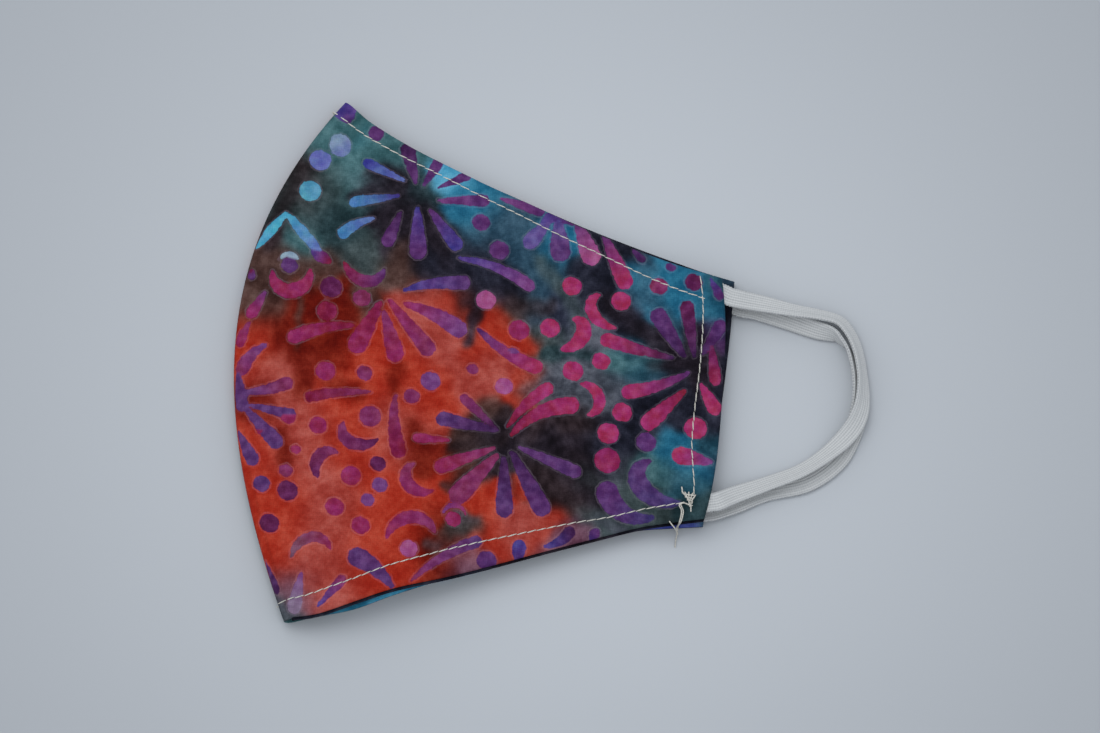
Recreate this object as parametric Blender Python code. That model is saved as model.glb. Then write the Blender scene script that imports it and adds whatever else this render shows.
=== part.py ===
"""A cotton face mask, sewn from two mirrored halves on a curved centre seam, with a flat elastic
ear loop on each side hem. It lies folded in half along the seam: the wearer's right half is on
the table, and the left half is on top of it. Each half is an outer panel with a lining inside.
Metres, +Z up, +X from the seam to the side hems, +Y from chin to nose."""

import math

import bpy
import numpy as np

MM = 0.001

# Cut of the upper half. The seam bows out from its chord, and the hem a little.
SEAM_CHORD = 159.0 * MM
SEAM_BOW = 23.4 * MM
SEAM_LEAN = 0.2
HEM_REACH = 116.2 * MM
HEM_HEIGHT = 73.2 * MM
HEM_DROP = 0.8 * MM
HEM_SKEW = 2.2 * MM
HEM_BOW = 1.7 * MM
NOSE_DIP = 4.6 * MM
CHIN_DIP = 3.8 * MM

# How far the lower half's hem corners lie from the upper one's, along X and Y
NOSE_CORNER_SHIFT_X = 3.6 * MM
NOSE_CORNER_SHIFT_Y = 1.0 * MM
CHIN_CORNER_SHIFT_X = -0.3 * MM
CHIN_CORNER_SHIFT_Y = -0.9 * MM

# How far the edges dip in from the line between their ends, as shares of NOSE_DIP and CHIN_DIP.
# A row for each place along them from the seam to the hem.
EDGE_COLUMNS = ("along", "nose", "upper_chin", "lower_chin")
EDGE_ROWS = (
    (0.00, 0.00, 0.00, 0.00),
    (0.08, 0.54, -0.46, -0.05),
    (0.16, 0.80, -0.50, 0.02),
    (0.26, 0.95, -0.12, 0.42),
    (0.37, 1.00, 0.04, 0.62),
    (0.50, 0.92, 0.26, 0.76),
    (0.62, 0.85, 0.44, 0.96),
    (0.75, 0.66, 0.58, 1.00),
    (0.86, 0.43, 0.60, 0.84),
    (0.93, 0.26, 0.32, 0.44),
    (1.00, 0.00, 0.00, 0.00),
)

# Cloth, elastic and the room between pieces
WALL = 1.0 * MM
PLY_GAP = 0.3 * MM
LINING_INSET = 0.6 * MM
HOLLOW_RISE = 5.8 * MM
ELASTIC_WIDTH = 5.4 * MM
ELASTIC_THICK = 1.0 * MM
TAIL_LENGTH = 6.0 * MM
TAIL_EXIT = 3.0 * MM
TAIL_ROOM = 2.6 * MM
POCKET_ROOM = 4.2 * MM
POCKET_FADE = 9.0 * MM
LOOP_REACH = 43.0 * MM
FLOOR_GAP = 0.1 * MM

# Where each tail leaves its hem, as a share of half the hem's height above its middle
LEFT_NOSE_TAIL = 0.880
LEFT_CHIN_TAIL = -0.860
RIGHT_NOSE_TAIL = 0.835
RIGHT_CHIN_TAIL = -0.905

# Mesh steps across a half, along its seam, round the fold and between two rows of a loop
CELLS_ACROSS = 21
CELLS_ALONG = 22
FOLD_STEPS = 3
STEPS_PER_ROW = 4

# How far the upper half stands off the lower one, as shares of HOLLOW_RISE. A row for each
# section from the seam to the hem, and a column for each line from the chin edge to the nose,
# where RISE_LINES says how far along the seam that line starts.
RISE_LINES = (0.0, 0.22, 0.5, 0.78, 1.0)
RISE_COLUMNS = ("across", "chin", "low", "middle", "high", "nose")
RISE_ROWS = (
    (0.00, 0.00, 0.00, 0.00, 0.00, 0.00),
    (0.10, 0.62, 0.50, 0.42, 0.26, 0.03),
    (0.22, 1.00, 0.97, 0.86, 0.55, 0.08),
    (0.38, 0.72, 0.98, 1.00, 0.68, 0.11),
    (0.58, 0.26, 0.80, 0.97, 0.62, 0.11),
    (0.80, 0.14, 0.44, 0.56, 0.36, 0.09),
    (1.00, 0.10, 0.14, 0.16, 0.10, 0.06),
)

# The ear loops between their tails. reach is a share of LOOP_REACH and height of half the hem's
# height. A band tilts up from its inner edge, in degrees. The lifts, of a band's lowest edge, and
# the side step, out from the left band to the right one, are shares of ELASTIC_WIDTH. left_over
# counts the bands that the left one lies over.
LOOP_COLUMNS = (
    "reach", "height", "left_tilt", "left_lift", "left_over", "side", "right_tilt", "right_lift"
)
LOOP_ROWS = (
    (0.233, 0.844, -8.0, 0.70, 0.0, -0.24, 8.0, 0.12),
    (0.465, 0.814, -18.0, 0.58, 0.0, -0.44, 20.0, 0.03),
    (0.644, 0.803, -30.0, 0.42, 0.0, -0.74, 36.0, 0.02),
    (0.784, 0.778, -42.0, 0.26, 0.0, -0.82, 60.0, 0.02),
    (0.865, 0.694, -52.0, 0.18, 0.0, -0.66, 84.0, 0.02),
    (0.930, 0.560, -58.0, 0.10, 0.2, -0.42, 106.0, 0.02),
    (0.976, 0.380, -60.0, 0.03, 0.5, -0.28, 119.0, 0.02),
    (1.000, 0.194, -50.0, 0.05, 0.7, -0.22, 130.0, 0.02),
    (0.992, 0.023, -30.0, 0.14, 0.9, -0.12, 150.0, 0.02),
    (0.937, -0.134, -8.0, 0.17, 1.0, 0.14, 171.0, 0.02),
    (0.817, -0.313, 10.0, 0.08, 0.9, 0.58, 179.0, 0.02),
    (0.637, -0.490, 16.0, 0.01, 0.6, 0.64, 180.0, 0.02),
    (0.398, -0.640, 8.0, 0.06, 0.9, 0.30, 180.0, 0.02),
    (0.205, -0.756, 2.0, 0.32, 1.0, 0.36, 180.0, 0.12),
)

COTTON_OUTER = (0.30, 0.09, 0.13)
COTTON_LINING = (0.06, 0.20, 0.26)
ELASTIC_WHITE = (0.72, 0.72, 0.67)


def clear_scene():
    for thing in list(bpy.data.objects):
        bpy.data.objects.remove(thing, do_unlink=True)


def cloth_material(name, colour, roughness):
    material = bpy.data.materials.new(name)
    material.use_nodes = True
    shader = material.node_tree.nodes["Principled BSDF"]
    shader.inputs["Base Color"].default_value = (*colour, 1.0)
    shader.inputs["Roughness"].default_value = roughness
    shader.inputs["Metallic"].default_value = 0.0
    return material


def smoothstep(x):
    x = np.clip(x, 0.0, 1.0)
    return x * x * (3.0 - 2.0 * x)


def smooth_through(places, values, at, level=False):
    """A curve through the values at rising places. Where it is level, it never passes the values."""
    places = np.asarray(places, float)
    values = np.asarray(values, float)
    slopes = np.gradient(values, places, axis=0)
    if level:
        runs = np.diff(places).reshape(-1, *[1] * (values.ndim - 1))
        climbs = np.diff(values, axis=0) / runs
        before, after = climbs[:-1], climbs[1:]
        limit = 2 * np.minimum(np.abs(before), np.abs(after)) * (before * after > 0)
        slopes[1:-1] = np.clip(slopes[1:-1], -limit, limit)
    k = np.clip(np.searchsorted(places, at, side="right") - 1, 0, len(places) - 2)
    step = places[k + 1] - places[k]
    t = (at - places[k]) / step
    if values.ndim > 1:
        t = t[:, None]
        step = step[:, None]
    start, end = (1 + 2 * t) * (1 - t) ** 2, t * t * (3 - 2 * t)
    lean_in, lean_out = t * (1 - t) ** 2, t * t * (t - 1)
    return (
        start * values[k]
        + end * values[k + 1]
        + step * (lean_in * slopes[k] + lean_out * slopes[k + 1])
    )


def hem_corners(lower):
    """The nose and chin corners of one half's hem."""
    nose = np.array([HEM_REACH - HEM_SKEW / 2, HEM_HEIGHT / 2 - HEM_DROP])
    chin = np.array([HEM_REACH + HEM_SKEW / 2, -HEM_HEIGHT / 2 - HEM_DROP])
    if lower:
        nose = nose + (NOSE_CORNER_SHIFT_X, NOSE_CORNER_SHIFT_Y)
        chin = chin + (CHIN_CORNER_SHIFT_X, CHIN_CORNER_SHIFT_Y)
    return nose, chin


def seam_point(v):
    t = 2.0 * v - 1.0
    bow = -SEAM_BOW * (1.0 - t * t) * (1.0 + SEAM_LEAN * t)
    return np.stack([bow, SEAM_CHORD / 2 * t], axis=-1)


def edge_dip(u, edge):
    """How far one of the edges of EDGE_COLUMNS dips in at share u, as a share of its deepest dip."""
    table = [dict(zip(EDGE_COLUMNS, row)) for row in EDGE_ROWS]
    along = [row["along"] for row in table]
    shares = [row[edge] for row in table]
    return smooth_through(along, shares, u.ravel()).reshape(u.shape)


def edge_point(u, start, end, dip):
    """A point of the nose or chin edge, which dips in this far from the line between its ends."""
    along = (end - start) / np.linalg.norm(end - start)
    inward = np.array([-along[1], along[0]]) * -math.copysign(1.0, start[1])
    return start + (end - start) * u[..., None] + inward * dip[..., None]


def hem_point(v, nose_corner, chin_corner):
    """A point of the side hem, which bows out evenly but for its ends."""
    bow = HEM_BOW * (1 - np.abs(2 * v - 1) ** 3)
    hem = chin_corner + (nose_corner - chin_corner) * v[..., None]
    return hem + np.stack([bow, np.zeros_like(bow)], axis=-1)


def plan_point(u, v, lower):
    """Where share u from seam to hem and share v from chin to nose lies in plan."""
    nose_corner, chin_corner = hem_corners(lower)
    chin_end = np.array([0.0, -SEAM_CHORD / 2])
    nose_end = np.array([0.0, SEAM_CHORD / 2])
    seam = seam_point(v)
    hem = hem_point(v, nose_corner, chin_corner)
    chin_dip = CHIN_DIP * edge_dip(u, "lower_chin" if lower else "upper_chin")
    chin = edge_point(u, chin_end, chin_corner, chin_dip)
    nose = edge_point(u, nose_end, nose_corner, NOSE_DIP * edge_dip(u, "nose"))
    uu, vv = u[..., None], v[..., None]
    across = seam * (1 - uu) + hem * uu
    along = chin * (1 - vv) + nose * vv
    corners = (chin_end * (1 - vv) + nose_end * vv) * (1 - uu)
    corners = corners + (chin_corner * (1 - vv) + nose_corner * vv) * uu
    return across + along - corners


def tail_share(height, lower):
    """The share v along a hem at which a tail leaves it."""
    nose_corner, chin_corner = hem_corners(lower)
    y = height * HEM_HEIGHT / 2 - HEM_DROP
    return (y - chin_corner[1]) / (nose_corner[1] - chin_corner[1])


def tail_mouth(height, lower):
    """The point of a hem where a tail leaves it."""
    v = np.array(tail_share(height, lower))
    return plan_point(np.array(1.0), v, lower)


def pocket(plan, heights, lower, room):
    """1 over the elastic tails of one half, and falling to 0 round them."""
    share = np.zeros(plan.shape[:-1])
    for height in heights:
        mouth = tail_mouth(height, lower)
        back = np.maximum(mouth[0] - TAIL_LENGTH - TAIL_ROOM - plan[..., 0], 0.0)
        side = np.maximum(np.abs(plan[..., 1] - mouth[1]) - ELASTIC_WIDTH / 2 - room, 0.0)
        share = np.maximum(share, smoothstep(1.0 - np.hypot(back, side) / POCKET_FADE))
    return share


def standing_off(u, v):
    """How far the upper half stands off the lower one."""
    table = [dict(zip(RISE_COLUMNS, row)) for row in RISE_ROWS]
    across = [row["across"] for row in table]
    shares = [[row[line] for line in RISE_COLUMNS[1:]] for row in table]
    lines = smooth_through(across, shares, u.ravel(), level=True)
    rise = [
        smooth_through(RISE_LINES, line, np.array([at]), level=True)[0]
        for line, at in zip(lines, v.ravel())
    ]
    return HOLLOW_RISE * np.array(rise).reshape(u.shape)


def lower_lining_floor(plan):
    room = pocket(plan, (RIGHT_NOSE_TAIL, RIGHT_CHIN_TAIL), True, POCKET_ROOM)
    return WALL + PLY_GAP + room * (ELASTIC_THICK + PLY_GAP)


def upper_lining_floor(plan, u, v):
    return lower_lining_floor(plan) + WALL + PLY_GAP + standing_off(u, v)


def upper_outer_floor(plan, u, v):
    room = pocket(plan, (LEFT_NOSE_TAIL, LEFT_CHIN_TAIL), False, TAIL_ROOM)
    below = upper_lining_floor(plan, u, v) + WALL + PLY_GAP
    return below + room * (ELASTIC_THICK + PLY_GAP)


def fold_radius():
    """Half the height of the four cloth walls where they fold at the seam."""
    return (4 * WALL + 3 * PLY_GAP) / 2


def row_length(v, lower):
    start = plan_point(np.zeros_like(v), v, lower)
    end = plan_point(np.ones_like(v), v, lower)
    return np.linalg.norm(end - start, axis=-1)


def grid_shares(inset, lower):
    """Shares u and v of a grid that starts where the fold ends, its outermost lines inset by this."""
    v = np.linspace(0, 1, CELLS_ALONG + 1)
    v[0] += inset / SEAM_CHORD
    v[-1] -= inset / SEAM_CHORD
    length = row_length(v, lower)
    start = fold_radius() / length
    step = np.linspace(0, 1, CELLS_ACROSS + 1)[:, None]
    u = start + (1 - start) * step
    u[-1] -= inset / length
    return u, np.broadcast_to(v, u.shape)


def with_height(plan, z):
    return np.concatenate([plan, np.broadcast_to(z, plan.shape[:-1])[..., None]], axis=-1)


def fold_columns(lower, radius):
    """The columns of a panel's surface that turn round the fold, at this radius from its middle."""
    v = np.linspace(0, 1, CELLS_ALONG + 1)
    outer = fold_radius()
    columns = []
    for k in range(FOLD_STEPS):
        turn = math.radians(90.0) * k / FOLD_STEPS
        u = (outer - radius * math.cos(turn)) / row_length(v, lower)
        rise = max(radius * math.sin(turn), PLY_GAP / 2)
        z = outer - rise if lower else outer + rise
        columns.append(with_height(plan_point(u, v, lower), z))
    return np.array(columns)


def shell_mesh(name, lower_side, upper_side):
    """A closed wall between two grids of points, the first below the second."""
    across, along = lower_side.shape[:2]
    points = np.concatenate([lower_side.reshape(-1, 3), upper_side.reshape(-1, 3)])
    top = across * along

    def at(i, j):
        return i * along + j

    faces = []
    for i in range(across - 1):
        for j in range(along - 1):
            near, far = at(i, j), at(i + 1, j + 1)
            for half in ((near, at(i + 1, j), far), (near, far, at(i, j + 1))):
                faces.append(tuple(top + p for p in half))
                faces.append(tuple(reversed(half)))
    border = [at(i, 0) for i in range(across)]
    border += [at(across - 1, j) for j in range(1, along)]
    border += [at(i, along - 1) for i in range(across - 2, -1, -1)]
    border += [at(0, j) for j in range(along - 2, 0, -1)]
    for a, b in zip(border, border[1:] + border[:1]):
        faces.append((a, b, top + b, top + a))
    mesh = bpy.data.meshes.new(name)
    mesh.from_pydata([tuple(p) for p in points], [], faces)
    mesh.shade_smooth()
    mesh.set_sharp_from_angle(angle=math.radians(40.0))
    return mesh


def outer_panel(name, lower):
    """An outer panel: its flat or arched field, and the turn at the seam where it meets the other."""
    u, v = grid_shares(0.0, lower)
    plan = plan_point(u, v, lower)
    floor = 0.0 if lower else upper_outer_floor(plan, u, v)
    under = with_height(plan, floor)
    over = with_height(plan, floor + WALL)
    inner_turn = fold_columns(lower, fold_radius() - WALL)
    outer_turn = fold_columns(lower, fold_radius())
    if lower:
        under = np.concatenate([outer_turn, under])
        over = np.concatenate([inner_turn, over])
    else:
        under = np.concatenate([inner_turn, under])
        over = np.concatenate([outer_turn, over])
    return shell_mesh(name, under, over)


def lining_panel(name, lower):
    u, v = grid_shares(LINING_INSET, lower)
    plan = plan_point(u, v, lower)
    floor = lower_lining_floor(plan) if lower else upper_lining_floor(plan, u, v)
    return shell_mesh(name, with_height(plan, floor), with_height(plan, floor + WALL))


def tail_points(height, lower):
    """A tail's stitched end, its place at the hem and a point just past it, at the band's middle."""
    v = np.array(tail_share(height, lower))
    length = row_length(v, lower)
    points = []
    for u in (1 - TAIL_LENGTH / length, np.array(1.0)):
        plan = plan_point(u, v, lower)
        floor = WALL if lower else upper_lining_floor(plan, u, v) + WALL
        points.append(np.array([plan[0], plan[1], floor + PLY_GAP + ELASTIC_THICK / 2]))
    ahead = points[1][:2] - points[0][:2]
    ahead *= TAIL_EXIT / np.linalg.norm(ahead)
    return [*points, points[1] + (*ahead, 0.0)]


def middle_height(tilt, lift, over):
    """How high a band's middle lies, with its lowest edge lifted and over this many other bands."""
    half = ELASTIC_WIDTH / 2 * abs(math.sin(tilt)) + ELASTIC_THICK / 2 * abs(math.cos(tilt))
    return FLOOR_GAP + half + lift * ELASTIC_WIDTH + over * (ELASTIC_THICK + PLY_GAP)


def loop_route(table):
    """The left band's route over the rows, and the way out from it at each, in plan."""
    route = np.array(
        [
            (
                HEM_REACH + row["reach"] * LOOP_REACH,
                row["height"] * HEM_HEIGHT / 2 - HEM_DROP,
            )
            for row in table
        ]
    )
    run = np.gradient(route, axis=0)
    run /= np.linalg.norm(run, axis=1)[:, None]
    return route, np.stack([-run[:, 1], run[:, 0]], axis=1)


def left_loop_rows():
    """The left band's middle points and tilts, from the nose tail to the chin tail."""
    table = [dict(zip(LOOP_COLUMNS, row)) for row in LOOP_ROWS]
    rows = [(*point, 0.0) for point in tail_points(LEFT_NOSE_TAIL, False)]
    for row, place in zip(table, loop_route(table)[0]):
        tilt = math.radians(row["left_tilt"])
        rows.append((*place, middle_height(tilt, row["left_lift"], row["left_over"]), tilt))
    rows += [(*point, 0.0) for point in reversed(tail_points(LEFT_CHIN_TAIL, False))]
    return np.array(rows)


def right_loop_rows():
    """The right band's, which turns over once between its tails."""
    table = [dict(zip(LOOP_COLUMNS, row)) for row in LOOP_ROWS]
    rows = [(*point, 0.0) for point in tail_points(RIGHT_NOSE_TAIL, True)]
    for row, place, out in zip(table, *loop_route(table)):
        tilt = math.radians(row["right_tilt"])
        place = place + out * row["side"] * ELASTIC_WIDTH
        rows.append((*place, middle_height(tilt, row["right_lift"], 0.0), tilt))
    rows += [(*point, math.pi) for point in reversed(tail_points(RIGHT_CHIN_TAIL, True))]
    return np.array(rows)


def band_mesh(name, rows):
    """A flat band swept along the rows, each with its middle point and its tilt."""
    count = (len(rows) - 1) * STEPS_PER_ROW + 1
    places, at = np.arange(len(rows)), np.linspace(0, len(rows) - 1, count)
    plan = smooth_through(places, rows[:, :2], at)
    height = smooth_through(places, rows[:, 2:3], at, level=True)
    tilt = smooth_through(places, rows[:, 3], at, level=True)
    middle = np.concatenate([plan, height], axis=1)
    run = np.gradient(middle, axis=0)
    run /= np.linalg.norm(run, axis=1)[:, None]
    flat_run = run[:, :2] / np.linalg.norm(run[:, :2], axis=1)[:, None]
    out = np.stack([-flat_run[:, 1], flat_run[:, 0], np.zeros(count)], axis=1)
    up = np.cross(run, out)
    across = out * np.cos(tilt)[:, None] + up * np.sin(tilt)[:, None]
    through = np.cross(run, across)
    half_width = across * ELASTIC_WIDTH / 2
    half_thick = through * ELASTIC_THICK / 2
    corners = np.stack(
        [
            middle - half_width - half_thick,
            middle + half_width - half_thick,
            middle + half_width + half_thick,
            middle - half_width + half_thick,
        ],
        axis=1,
    )
    faces = [(3, 2, 1, 0), tuple((count - 1) * 4 + k for k in range(4))]
    for i in range(count - 1):
        for k in range(4):
            a, b = i * 4 + k, i * 4 + (k + 1) % 4
            faces.append((a, b, b + 4, a + 4))
    mesh = bpy.data.meshes.new(name)
    mesh.from_pydata([tuple(p) for p in corners.reshape(-1, 3)], [], faces)
    mesh.shade_smooth()
    mesh.set_sharp_from_angle(angle=math.radians(40.0))
    return mesh


def add_piece(mesh, material, parent):
    mesh.materials.append(material)
    piece = bpy.data.objects.new(mesh.name, mesh)
    piece.parent = parent
    bpy.context.scene.collection.objects.link(piece)
    return piece


def stand_on_origin(mask, pieces):
    """Moves the mask so that the origin is under the middle of its box, on the surface it lies on."""
    points = np.concatenate(
        [np.array([tuple(v.co) for v in piece.data.vertices]) for piece in pieces]
    )
    low, high = points.min(axis=0), points.max(axis=0)
    mask.location = (-(low[0] + high[0]) / 2, -(low[1] + high[1]) / 2, -low[2])


def main():
    clear_scene()
    mask = bpy.data.objects.new("face_mask", None)
    bpy.context.scene.collection.objects.link(mask)
    outer = cloth_material("printed_cotton", COTTON_OUTER, 0.85)
    lining = cloth_material("lining_cotton", COTTON_LINING, 0.85)
    elastic = cloth_material("knitted_elastic", ELASTIC_WHITE, 0.75)
    pieces = [
        add_piece(outer_panel("right_outer", True), outer, mask),
        add_piece(lining_panel("right_lining", True), lining, mask),
        add_piece(lining_panel("left_lining", False), lining, mask),
        add_piece(outer_panel("left_outer", False), outer, mask),
        add_piece(band_mesh("left_ear_loop", left_loop_rows()), elastic, mask),
        add_piece(band_mesh("right_ear_loop", right_loop_rows()), elastic, mask),
    ]
    stand_on_origin(mask, pieces)


main()
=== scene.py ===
"""A cotton batik face mask, folded in half along its curved centre seam and laid on a table.
The script follows the mask as it is sewn: the print, the right half, the left half over it, the
elastic ear loops, the top stitching, and the bar tack with its thread tail. Metres, +Z up."""

import math

import bpy
import numpy as np
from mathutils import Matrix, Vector, noise
from mathutils.bvhtree import BVHTree


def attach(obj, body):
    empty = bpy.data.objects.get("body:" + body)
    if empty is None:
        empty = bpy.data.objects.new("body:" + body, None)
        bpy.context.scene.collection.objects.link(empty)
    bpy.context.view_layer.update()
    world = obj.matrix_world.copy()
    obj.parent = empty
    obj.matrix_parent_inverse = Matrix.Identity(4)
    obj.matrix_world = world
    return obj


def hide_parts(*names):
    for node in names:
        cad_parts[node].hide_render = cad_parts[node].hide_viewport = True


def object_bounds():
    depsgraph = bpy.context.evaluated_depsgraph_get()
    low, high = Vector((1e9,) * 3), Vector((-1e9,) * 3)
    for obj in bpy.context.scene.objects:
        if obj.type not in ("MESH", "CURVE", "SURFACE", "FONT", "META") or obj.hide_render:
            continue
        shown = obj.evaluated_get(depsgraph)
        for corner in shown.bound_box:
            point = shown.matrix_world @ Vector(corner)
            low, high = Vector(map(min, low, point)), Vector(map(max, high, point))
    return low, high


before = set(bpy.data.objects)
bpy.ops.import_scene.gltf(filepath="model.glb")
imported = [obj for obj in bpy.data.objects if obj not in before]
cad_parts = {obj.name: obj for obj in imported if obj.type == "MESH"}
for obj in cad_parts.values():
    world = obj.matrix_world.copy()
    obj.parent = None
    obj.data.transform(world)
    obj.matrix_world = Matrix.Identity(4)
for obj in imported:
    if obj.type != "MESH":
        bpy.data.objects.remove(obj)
cad_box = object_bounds()

MM = 0.001


# The table and the light
# A pale table under wide soft daylight from above. Its colour is painted greyer away from the
# middle, a painted pool of light. The camera looks down on the mask from the chin side, from far
# off with a long lens, so that the cloth keeps its proportions.

VIEW_AZIMUTH = math.radians(6.0)
VIEW_ELEVATION = math.radians(72.0)
VIEW_DISTANCE = 3.0
SENSOR_WIDTH = 36.0
CLIP_NEAR, CLIP_FAR = 0.1, 20.0
PICTURE_SIZE = (1100, 733)
PIXEL = 0.29 * MM
AIM = np.array((-0.9, 5.1, 3.0)) * MM

VIEW_RIGHT = np.array((math.cos(VIEW_AZIMUTH), math.sin(VIEW_AZIMUTH), 0.0))
VIEW_BACK = np.array(
    (
        math.sin(VIEW_AZIMUTH) * math.cos(VIEW_ELEVATION),
        -math.cos(VIEW_AZIMUTH) * math.cos(VIEW_ELEVATION),
        math.sin(VIEW_ELEVATION),
    )
)
VIEW_UP = np.cross(VIEW_BACK, VIEW_RIGHT)


def in_picture(points):
    """Where points are in the picture, in pixels from its top left corner."""
    away = points - AIM
    across = PICTURE_SIZE[0] / 2 + away @ VIEW_RIGHT / PIXEL
    down = PICTURE_SIZE[1] / 2 - away @ VIEW_UP / PIXEL
    return np.stack([across, down], axis=-1)


def under_pixel(across, down, height):
    """The point at this height above the table that shows at a pixel of the picture."""
    right = (across - PICTURE_SIZE[0] / 2) * PIXEL
    up = (PICTURE_SIZE[1] / 2 - down) * PIXEL
    point = AIM + VIEW_RIGHT * right + VIEW_UP * up
    return point + VIEW_BACK * (height - point[2]) / VIEW_BACK[2]


def dye(code):
    """An sRGB hex colour as linear red, green, blue and 1."""
    parts = [int(code[i : i + 2], 16) / 255 for i in (1, 3, 5)]
    return (*[p / 12.92 if p <= 0.04045 else ((p + 0.055) / 1.055) ** 2.4 for p in parts], 1.0)


def feed(tree, node, inputs):
    """Gives each of these inputs of a node a value, or another node's output."""
    for name, value in inputs.items():
        if isinstance(value, bpy.types.NodeSocket):
            tree.links.new(value, node.inputs[name])
        else:
            node.inputs[name].default_value = value


def add(tree, kind, inputs=None, **settings):
    """Adds a node with its settings, and feeds its inputs."""
    made = tree.nodes.new(kind)
    for name, value in settings.items():
        setattr(made, name, value)
    feed(tree, made, inputs or {})
    return made


def maths(tree, kind, a, b):
    return add(tree, "ShaderNodeMath", {0: a, 1: b}, operation=kind).outputs[0]


def mixed(tree, share, a, b):
    """Colour a, with this share of colour b."""
    return add(tree, "ShaderNodeMix", {0: share, 6: a, 7: b}, data_type="RGBA").outputs[2]


def new_material(name):
    """A material with an empty tree but for its Principled shader and output."""
    material = bpy.data.materials.new(name)
    material.use_nodes = True
    return material, material.node_tree, material.node_tree.nodes["Principled BSDF"]


def put(name, data, *materials):
    """Puts a mesh, camera or light in the scene, at the origin."""
    for material in materials:
        data.materials.append(material)
    piece = bpy.data.objects.new(name, data)
    bpy.context.scene.collection.objects.link(piece)
    return piece


def look_along(piece, way):
    """Turns a camera or a light to face along a direction."""
    piece.rotation_mode = "QUATERNION"
    piece.rotation_quaternion = Vector(way).to_track_quat("-Z", "Y")


camera = put("camera", bpy.data.cameras.new("camera"))
camera.data.sensor_width = SENSOR_WIDTH
camera.data.lens = SENSOR_WIDTH * VIEW_DISTANCE / (PICTURE_SIZE[0] * PIXEL)
camera.data.clip_start, camera.data.clip_end = CLIP_NEAR, CLIP_FAR
camera.location = AIM + VIEW_BACK * VIEW_DISTANCE
look_along(camera, -VIEW_BACK)
bpy.context.scene.camera = camera

TABLE_HALF = 3.0
TABLE_DROP = 0.05 * MM
# Painted pool of light: the table is painted lighter in the middle and greyer towards the sides
TABLE_LIT_MIDDLE, TABLE_PAINTED_SHADE_FAR = "#bcc0c4", "#85888c"
PAINTED_LIGHT_POOL_REACH = 200 * MM
table_mesh = bpy.data.meshes.new("table")
signs = ((-1, -1), (1, -1), (1, 1), (-1, 1))
corners = [(x * TABLE_HALF, y * TABLE_HALF, -TABLE_DROP) for x, y in signs]
table_mesh.from_pydata(corners, [], [(0, 1, 2, 3)])
table_paint, table_tree, table_shader = new_material("matt_white_board")
# Painted pool of light: the colour goes from the lit middle to the painted shade with distance
place = add(table_tree, "ShaderNodeTexCoord").outputs["Object"]
inputs = {0: place, 1: place}
far = add(table_tree, "ShaderNodeVectorMath", inputs, operation="DOT_PRODUCT").outputs["Value"]
share = maths(table_tree, "DIVIDE", far, maths(table_tree, "ADD", far, PAINTED_LIGHT_POOL_REACH**2))
painted_shading = mixed(table_tree, share, dye(TABLE_LIT_MIDDLE), dye(TABLE_PAINTED_SHADE_FAR))
feed(table_tree, table_shader, {"Base Color": painted_shading, "Roughness": 0.9, "Specular IOR Level": 0.2})
table = put("table", table_mesh, table_paint)

SKY_COLOUR, SKY_STRENGTH = "#edf2f9", 0.975
sky = bpy.data.worlds.new("soft_daylight")
sky.use_nodes = True
background = sky.node_tree.nodes["Background"]
feed(sky.node_tree, background, {"Color": dye(SKY_COLOUR), "Strength": SKY_STRENGTH})
bpy.context.scene.world = sky


def window(name, place, size, power):
    """A square soft light, turned to the mask."""
    lamp = put(name, bpy.data.lights.new(name, "AREA"))
    lamp.data.size = size
    lamp.data.energy = power
    lamp.location = place
    look_along(lamp, -Vector(place))


window("window_above", (-0.25, 0.45, 1.1), size=0.9, power=3.0)
window("window_left", (-0.9, 0.1, 0.6), size=0.7, power=0.9)

bpy.context.scene.view_settings.view_transform = "Standard"


# The cut of the mask
# Both halves are cut from one paper pattern: a bowed centre seam, a side hem that bows a little,
# and nose and chin edges that dip in. The lower half's hem lies a little off the upper one's.

SEAM_CHORD = 159.0 * MM
SEAM_BOW = 23.4 * MM
SEAM_LEAN = 0.2
HEM_REACH = 116.2 * MM
HEM_HEIGHT = 73.2 * MM
HEM_DROP = 0.8 * MM
HEM_SKEW = 2.2 * MM
UPPER_HEM_BOW, LOWER_HEM_BOW = 2.6 * MM, 0.9 * MM
NOSE_DIP = 4.6 * MM
CHIN_DIP = 3.8 * MM
NOSE_CORNER_SHIFT = np.array((3.6, 1.0)) * MM
CHIN_CORNER_SHIFT = np.array((-0.3, -0.9)) * MM
# How far the edges dip in, as shares of NOSE_DIP and CHIN_DIP, from the seam to the hem
EDGE_COLUMNS = ("along", "nose", "upper_chin", "lower_chin")
EDGE_ROWS = (
    (0.00, 0.00, 0.00, 0.00),
    (0.08, 0.54, -0.32, -0.10),
    (0.16, 0.80, -0.22, -0.18),
    (0.26, 0.95, 0.02, 0.22),
    (0.37, 1.00, 0.08, 0.52),
    (0.50, 0.92, 0.26, 0.76),
    (0.62, 0.85, 0.44, 0.96),
    (0.75, 0.66, 0.58, 1.00),
    (0.86, 0.43, 0.60, 0.84),
    (0.93, 0.26, 0.32, 0.44),
    (1.00, 0.00, 0.00, 0.00),
)
CLOTH_THICK = 1.0 * MM
PLY_GAP = 0.3 * MM
FOLD_RADIUS = (4 * CLOTH_THICK + 3 * PLY_GAP) / 2


def rows(columns, table):
    return [dict(zip(columns, row)) for row in table]


def lengths(vectors):
    return np.linalg.norm(vectors, axis=-1)


def unit(vectors):
    return vectors / np.linalg.norm(vectors, axis=-1, keepdims=True)


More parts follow.
